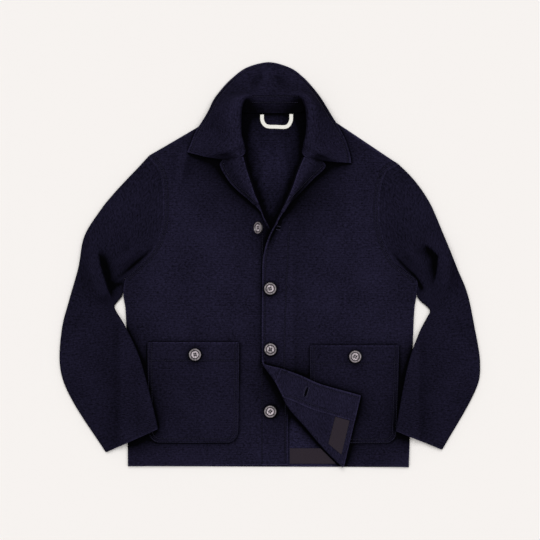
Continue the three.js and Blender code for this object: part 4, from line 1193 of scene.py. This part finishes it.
class JACKET_OT_trim(bpy.types.Operator):
    """Lay the hem tape inside the back and sew in the hanger loop"""
    bl_idname = "jacket.trim"
    bl_label = "Tape and hanger loop"

    def execute(self, context):
        t = spread(1, 26, RIM / 60, RIM / 60)
        grid = [np.column_stack([lerp(TAPE_BACK["from"], TAPE_BACK["to"] + down, t),
                                 np.full(len(t), TAPE_BACK["top"] - down), np.full(len(t), LAYER)])
                for down in spread(TAPE_BACK["wide"], 12)]
        self.lay(np.array(grid), "hem_tape_back", "tape", "tape", AS_IS)

        knots = [2 * LOOP[0] - LOOP[1], *LOOP, 2 * LOOP[-1] - LOOP[-2]]
        shares = np.linspace(0, 1, 16)[:-1]
        line = [spline_point(knots[i:i + 4], f) for i in range(len(LOOP) - 1) for f in shares]
        line = np.array([*line, LOOP[-1]])
        across = spread(LOOP_WIDTH, 5, RIM[:3], RIM[:3]) - LOOP_WIDTH / 2
        sideways = left_of(unit(np.gradient(line, axis=0)))
        plan = line[:, None] - sideways[:, None] * across[None, :, None]
        grid = np.dstack([plan, np.full(plan.shape[:2], LAYER)])
        self.lay(grid, "hanger_loop", "loop_tape", "loop", TURNED)
        return {"FINISHED"}

    def lay(self, grid, node, slot, finish, columns):
        """One flat tape on the back."""
        uv = np.stack([walked(grid, 1), walked(grid, 0)], -1)
        dressed(grid_sheet(node, grid, TAPE, uv, columns=columns), node, finish)


BUTTONS = table("x y z lean turn",
    (-22, 74, 15, -48, 0),
    (0, -44, 3 * LAYER, 0, 20),
    (0.5, -162, 3 * LAYER, 0, 75),
    (0, -283, FRONT_Z + LAYER, 0, 50),
    (-146, -172, POCKET_Z + LAYER + POCKET_BULGE, 0, 10),
    (165, -176, POCKET_Z + LAYER + POCKET_BULGE, 0, 60))
BUTTON_NODES = ["button_front_1", "button_front_2", "button_front_3", "button_front_4",
                "button_pocket_right", "button_pocket_left"]
BUTTON_THICK = 3.3
HOLE_R = 1.35
HOLE_FROM_CENTRE = 2.1
DRILL_LENGTH = 12
STRAND = (2.4, 0.25, 0.5)  # half sizes along, across and up
STRAND_APART = 0.3
STRAND_Z = 2.0
POLISH = 0.22
RIM_AND_DISH = ((0.6, 0), (0.5, 0.1), (1.5, 0.1), (0.8, -1.4), (0.9, 0), (0.8, 0.7), (2.0, -0.3), (1.6, -0.2))
BACK_TURNING = ((1.1, 0), (3, 0))


def only(piece):
    """Deselects all, then selects one object and makes it active."""
    bpy.ops.object.select_all(action="DESELECT")
    piece.select_set(True)
    bpy.context.view_layer.objects.active = piece


class JACKET_OT_buttons(bpy.types.Operator):
    """Turn the horn buttons, drill their four holes and thread them"""
    bl_idname = "jacket.buttons"
    bl_label = "Buttons"

    def execute(self, context):
        model = self.turned_button()
        strands = self.strands()
        for i, node in enumerate(BUTTON_NODES):
            x, y, z, lean, turn = (BUTTONS[key][i] for key in ("x", "y", "z", "lean", "turn"))
            place = (Matrix.Translation(Vector((x, y, z)) * MM - Vector(MIDDLE) * MM)
                     @ Matrix.Rotation(math.radians(lean), 4, "Y")
                     @ Matrix.Rotation(math.radians(turn), 4, "Z"))
            for source, name, finish in ((model, f"{node}_horn", "horn"),
                                         (strands, f"{node}_thread", "shank")):
                mesh = source.data.copy()
                mesh.transform(place)
                mesh.materials.clear()
                mesh.materials.append(material(finish))
                piece = bpy.data.objects.new(name, mesh)
                context.scene.collection.objects.link(piece)
                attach(piece, "root")
                if finish == "horn":
                    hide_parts(node)
        for source in (model, strands):
            bpy.data.objects.remove(source)
        return {"FINISHED"}

    def turned_button(self):
        """A button with a double rim, at the origin with its back down."""
        bpy.ops.object.select_all(action="DESELECT")
        bpy.ops.mesh.primitive_cylinder_add(vertices=56, radius=BUTTON_D / 2 * MM, depth=BUTTON_THICK * MM,
                                            location=(0, 0, BUTTON_THICK / 2 * MM))
        button = bpy.context.object
        bpy.ops.object.transform_apply(location=True, rotation=False, scale=False)
        for upward, cuts in ((1, RIM_AND_DISH), (-1, BACK_TURNING)):
            bpy.ops.object.mode_set(mode="EDIT")
            bpy.ops.mesh.select_all(action="DESELECT")
            bpy.ops.object.mode_set(mode="OBJECT")
            caps = [face for face in button.data.polygons if face.normal.z * upward > 0.9]
            largest = max(caps, key=lambda face: face.area)
            for item in (button.data.vertices, button.data.edges, button.data.polygons):
                item.foreach_set("select", np.zeros(len(item), bool))
            largest.select = True
            bpy.ops.object.mode_set(mode="EDIT")
            bpy.ops.mesh.select_mode(type="FACE")
            for thickness, depth in cuts:
                bpy.ops.mesh.inset(thickness=thickness * MM, depth=depth * MM)
            bpy.ops.object.mode_set(mode="OBJECT")
        drills = self.drills()
        cut = button.modifiers.new("holes", "BOOLEAN")
        cut.object = drills
        cut.solver = "EXACT"
        only(button)
        bpy.ops.object.modifier_apply(modifier="holes")
        bpy.data.objects.remove(drills)
        bevel = button.modifiers.new("polish", "BEVEL")
        bevel.width = POLISH * MM
        bevel.segments = 2
        bevel.limit_method = "ANGLE"
        bevel.angle_limit = math.radians(32)
        bpy.ops.object.modifier_apply(modifier="polish")
        bpy.ops.object.shade_smooth_by_angle(angle=math.radians(40))
        from_middle = [math.hypot(vertex.co.x, vertex.co.y) / MM for vertex in button.data.vertices]
        button.data.attributes.new("from_middle_mm", "FLOAT", "POINT").data.foreach_set("value", from_middle)
        return button

    def drills(self):
        """Four round cutters joined into one."""
        made = []
        for sx, sy in ((1, 1), (1, -1), (-1, 1), (-1, -1)):
            bpy.ops.object.select_all(action="DESELECT")
            bpy.ops.mesh.primitive_cylinder_add(
                vertices=16, radius=HOLE_R * MM, depth=DRILL_LENGTH * MM,
                location=(sx * HOLE_FROM_CENTRE * MM, sy * HOLE_FROM_CENTRE * MM, 1 * MM))
            made.append(bpy.context.object)
        for piece in made:
            piece.select_set(True)
        bpy.ops.object.join()
        return bpy.context.object

    def strands(self):
        """Thread across the holes in two bars of two strands."""
        made = []
        for across in (-1, 1):
            for strand in (-STRAND_APART, STRAND_APART):
                bpy.ops.object.select_all(action="DESELECT")
                bpy.ops.mesh.primitive_uv_sphere_add(segments=8, ring_count=6, radius=1,
                                                     rotation=(0, math.pi / 2, 0))
                piece = bpy.context.object
                bpy.ops.object.transform_apply(location=False, rotation=True, scale=False)
                piece.scale = Vector(STRAND) * MM
                piece.location = (0, (across * HOLE_FROM_CENTRE + strand) * MM, STRAND_Z * MM)
                bpy.ops.object.transform_apply(location=True, rotation=False, scale=True)
                made.append(piece)
        for piece in made:
            piece.select_set(True)
        bpy.ops.object.join()
        bpy.ops.object.shade_smooth()
        return bpy.context.object


BUTTONHOLES = {  # each a dark sheet on one piece, painted as the shade in its slit, with its whip stitches
    "corner": ("facing_left_corner", ((307.6, 386.2), (304.4, 396.4))),
    "top": ("front_left", ((276.6, 228.0), (280.4, 228.7))),
}
SLIT_HALF = 2.5  # half the width of an open slit
SLIT_STEPS = 14
WHIP_PITCH = 1.0
WHIP_REACH = (1.8, 5.9)  # where a whip stitch starts and ends, from the middle of the slit


class JACKET_OT_buttonholes(bpy.types.Operator):
    """Lay a dark sheet on each buttonhole, painted as the shade in its slit, and whip its edges with thread
    """
    bl_idname = "jacket.buttonholes"
    bl_label = "Buttonholes"

    def execute(self, context):
        for name, (node, ends) in BUTTONHOLES.items():
            target = bpy.data.objects[f"{node}_cloth"]
            tree = BVHTree.FromObject(target, context.evaluated_depsgraph_get())
            line = seen(*ends)
            along = unit(line[1] - line[0])
            across = left_of(along)
            grid, whips = [], []
            for t in np.linspace(0.02, 0.98, SLIT_STEPS):
                middle = lerp(line[0], line[1], t)
                half = SLIT_HALF * math.sin(math.pi * t) ** 0.7
                height = cast([tree], middle)[0].z / MM + 0.1
                grid.append([[*(middle + across * half * k), height] for k in (-1, -0.4, 0.4, 1)])
            for start in np.arange(0, np.linalg.norm(line[1] - line[0]), WHIP_PITCH):
                for way in (-1, 1):
                    root = line[0] + along * start
                    whips.append([root + across * way * reach for reach in WHIP_REACH])
            grid = np.array(grid)
            count = grid[..., 0].size
            points, faces = grid.reshape(-1, 3), quads(grid_ids(*grid.shape[:2]))
            # Marked as fully shut in, so the wool paints the sheet with its darkest painted shade.
            marks = {"hollow": np.ones(count), "stitch_mm": np.full(count, FAR_OFF),
                     "edge_mm": np.full(count, FAR_OFF)}
            slit_shade = shell(f"buttonhole_{name}_slit", points, points - [0, 0, 0.4], faces, points[:, :2], marks)
            slit_shade.data.materials.append(material("inside"))
            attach(slit_shade, "root")
            stitch_mesh(f"buttonhole_{name}_thread", [target], whips)
        return {"FINISHED"}


class JACKET_OT_crevices(bpy.types.Operator):
    """Find where the cloth is shut in, where the wool is painted with shade"""
    bl_idname = "jacket.crevices"
    bl_label = "Crevices"

    def execute(self, context):
        cloth = [piece for piece in bpy.data.objects if piece.name.endswith("_cloth")]
        # The buttons lying flat stand as walls too, so painted shadow rings the cloth round them.
        flat_buttons = [bpy.data.objects[f"{node}_horn"] for node in BUTTON_NODES[1:]]
        mark_hollows(cloth, flat_buttons)
        return {"FINISHED"}


class JACKET_OT_sewing(bpy.types.Operator):
    """Run the rows of topstitching over fronts, facings, pockets and collar"""
    bl_idname = "jacket.sewing"
    bl_label = "Topstitching"

    def execute(self, context):
        for node, rows in STITCHES.items():
            stitch_mesh(f"stitches_{node}", [bpy.data.objects[f"{node}_cloth"]], rows)
        return {"FINISHED"}


LIGHTS = (("top_box", 35, 0, 1.15), ("left_box", 35, 90, 0.5), ("right_box", 35, -90, 0.5))
LIGHT_WIDTH = 0.6
SKY_LIGHT = 0.42
FLOOR_SIZE = 12
FLOOR_DROP = 0.0003  # just under the jacket, so that the two don't flicker through each other
CAMERA_AT = (0.0001, -0.0103, 2.5)
CAMERA_LENS = 85.47


class JACKET_OT_stage(bpy.types.Operator):
    """Lay the floor, hang the lights and set the camera straight above"""
    bl_idname = "jacket.stage"
    bl_label = "Floor, lights and camera"

    def execute(self, context):
        bpy.ops.object.select_all(action="DESELECT")
        bpy.ops.mesh.primitive_plane_add(size=FLOOR_SIZE, location=(0, 0, -FLOOR_DROP))
        floor = context.object
        floor.name = "floor"
        bpy.ops.object.transform_apply(location=True, rotation=False, scale=False)
        floor.data.materials.append(material("floor"))

        camera = bpy.data.objects.new("camera", bpy.data.cameras.new("camera"))
        context.scene.collection.objects.link(camera)
        camera.location = CAMERA_AT
        camera.data.lens = CAMERA_LENS
        camera.data.sensor_width = 36
        camera.data.clip_end = 50
        context.scene.camera = camera

        for name, lean, turn, strength in LIGHTS:
            self.light(name, lean, turn, strength)
        world = bpy.data.worlds.new("studio")
        context.scene.world = world
        world.use_nodes = True
        sky = world.node_tree.nodes["Background"].inputs
        sky["Color"].default_value = linear("#ffffff")
        sky["Strength"].default_value = SKY_LIGHT
        context.scene.view_settings.view_transform = "Standard"
        return {"FINISHED"}

    def light(self, name, lean, turn, strength):
        """A wide, even studio light that leans from straight above, turned round from the top."""
        data = bpy.data.lights.new(name, "SUN")
        data.energy = strength
        data.angle = LIGHT_WIDTH
        lamp = bpy.data.objects.new(name, data)
        lamp.rotation_euler = (-math.radians(lean), 0, math.radians(turn))
        bpy.context.scene.collection.objects.link(lamp)


# Rows of stitches and creases, each in plan

PIXEL = 1.95  # mm for one pixel of the photograph's 540 px frame
ORIGIN_PIXEL = (270.2, 266)  # where that frame has the tables' origin
ARMHOLE_ROWS = (2.2, 7.6)  # from the armhole's seam to each row of stitches
POCKET_ROWS = (1.8, 8.2)
POCKET_TURNING = 36.0  # from a pocket's top to the row that holds its turned edge
FACING_WIDTH = 52
HEM_TAPE = (1.886, 1.974)  # the tape's sides, as places along the left front


def seen(*pixels):
    """Plan points in mm from places in the photograph's 540 px frame."""
    x, y = np.array(pixels, float).T
    return np.stack([x - ORIGIN_PIXEL[0], ORIGIN_PIXEL[1] - y], -1) * PIXEL


def armhole(name):
    """Both rows of stitches beside an armhole."""
    seam = side(name, np.linspace(0.01, 0.99, 70))
    return [beside(seam, inset * INWARD[name]) for inset in ARMHOLE_ROWS]


def edge_row(name, low, high, inset):
    """A row of stitches at a distance inside a front's free edge."""
    line = spot(FRONTS[name], "edge", np.linspace(low, high, 60))
    return beside(line, inset)


def lay_out_sewing():
    """Fills the table of stitches."""
    top = bpy.context.scene.jacket_sizes.topstitch / MM
    STITCHES.update({
        "front_right": [*armhole("right"), edge_row("right", 0.9, 1.98, -top),
                        seen((262.3, 233), (262, 368), (262, 463))],
        "front_left": [*armhole("left"), edge_row("left", 0.86, 1.43, top),
                       seen((289.5, 226), (287.9, 248), (286, 290), (284.5, 337), (284, 372))],
        "facing_right_lapel": [edge_row("right", 0.31, 0.65, top)],
        "facing_left_lapel": [edge_row("left", 0.31, 0.65, -top)],
        "facing_left_corner": [edge_row("left", 1.57, 1.99, -top),
                               seen((288.3, 395), (300, 399.6), (316.7, 405.4), (336.7, 413.2))],
        "collar": [beside(spot(COLLAR, "edge", np.linspace(0.15, 21.85, 160)), -top),
                   seen((252, 97.5), (275, 96.6), (299, 97.5)),
                   seen((252, 103.4), (275, 102.8), (299, 103.4))],
    })
    for name, shape in POCKETS.items():
        (left, right), y = shape["high"], shape["top"] - POCKET_TURNING
        STITCHES[f"pocket_{name}"] = [*(pocket_row(shape, inset) for inset in POCKET_ROWS),
                                      np.array([(left + 2, y), (right - 2, y)])]


def pocket_row(shape, inset):
    """A row of stitches down one side of a pocket, along its bottom and up the other side."""
    (x0, x1), (x2, x3) = shape["high"], shape["low"]
    r = POCKET_CORNER - inset
    y = shape["bottom"] + POCKET_CORNER
    turn = np.linspace(0, np.pi / 2, 9)
    left = [(x2 + POCKET_CORNER - r * math.cos(a), y - r * math.sin(a)) for a in turn]
    right = [(x3 - POCKET_CORNER + r * math.sin(a), y - r * math.cos(a)) for a in turn]
    return np.array([(x0 + inset, shape["top"] - 1), *left, *right, (x1 - inset, shape["top"] - 1)], float)


# Creases by piece: height, half width, and the places on the photograph that each one runs through
CREASES = {
    "front_right": [(5, 9, (184, 148), (181, 166), (178, 186)),
                    (2.6, 8, (165, 156), (161, 172), (160, 190)),
                    (1.6, 10, (196, 172), (200, 190), (204, 208)),
                    (1.4, 10, (222, 186), (222, 200), (226, 214)),
                    (-1.8, 2.6, (158, 244), (146, 256), (126, 276))],
    "front_left": [(1.8, 9, (346, 168), (351, 186), (350, 206)),
                   (1.8, 9, (364, 160), (367, 180), (365, 200)),
                   (-1.8, 2.6, (390, 254), (400, 266), (416, 279))],
    "collar": [(-4.6, 11, (258, 68), (256, 78), (252, 92)),
               (-4.4, 11, (277, 72), (280, 80), (288, 90)),
               (2.5, 9, (267, 66), (268, 78), (268, 88)),
               (-1.5, 7, (225, 110), (216, 122), (206, 134))],
    "sleeve_right": [(-4.2, 3.6, (157, 244), (143, 257), (128, 270), (112, 283)),
                     (4.2, 9, (140, 246), (128, 256), (117, 264)),
                     (-1.8, 6, (124, 238), (127, 247), (131, 256)),
                     (3.2, 9, (91, 230), (93, 239), (95, 249)),
                     (-1.6, 7, (101, 247), (106, 266), (112, 286), (117, 300)),
                     (-4.5, 6, (110, 288), (117, 285), (122, 284), (125, 292)),
                     (1.8, 10, (128, 176), (134, 200), (135, 226))],
    "sleeve_left": [(-4.2, 3.6, (390, 250), (402, 264), (416, 279), (424, 290)),
                    (4, 9, (404, 246), (413, 256), (422, 265)),
                    (2.2, 9, (407, 222), (413, 234), (424, 244)),
                    (3.0, 9, (446, 260), (446, 276), (442, 294)),
                    (-4.5, 5, (411, 275), (417, 282), (421, 289), (418, 297)),
                    (1.8, 10, (404, 170), (411, 195), (414, 218))],
}


class JACKET_PT_panel(bpy.types.Panel):
    """Steps of making the jacket"""
    bl_idname = "JACKET_PT_panel"
    bl_label = "Work Jacket"
    bl_space_type = "VIEW_3D"
    bl_region_type = "UI"
    bl_category = "Jacket"

    def draw(self, context):
        for step in STEPS:
            self.layout.operator(step.bl_idname)
        for group in (context.scene.jacket_sizes, context.scene.jacket_colours):
            for key in group.__annotations__:
                self.layout.prop(group, key)


STEPS = (JACKET_OT_stage, JACKET_OT_back, JACKET_OT_fronts, JACKET_OT_facings, JACKET_OT_collar,
         JACKET_OT_sleeves, JACKET_OT_pockets, JACKET_OT_trim, JACKET_OT_buttons, JACKET_OT_buttonholes,
         JACKET_OT_sewing, JACKET_OT_crevices)
CLASSES = (JacketSizes, JacketColours, *STEPS, JACKET_PT_panel)


def register():
    for item in CLASSES:
        bpy.utils.register_class(item)
    bpy.types.Scene.jacket_sizes = PointerProperty(type=JacketSizes)
    bpy.types.Scene.jacket_colours = PointerProperty(type=JacketColours)


def unregister():
    del bpy.types.Scene.jacket_sizes
    del bpy.types.Scene.jacket_colours
    for item in reversed(CLASSES):
        bpy.utils.unregister_class(item)


def main():
    register()
    lay_out_sewing()
    for step in STEPS:
        group, name = step.bl_idname.split(".")
        getattr(getattr(bpy.ops, group), name)()


if __name__ == "__main__":
    main()
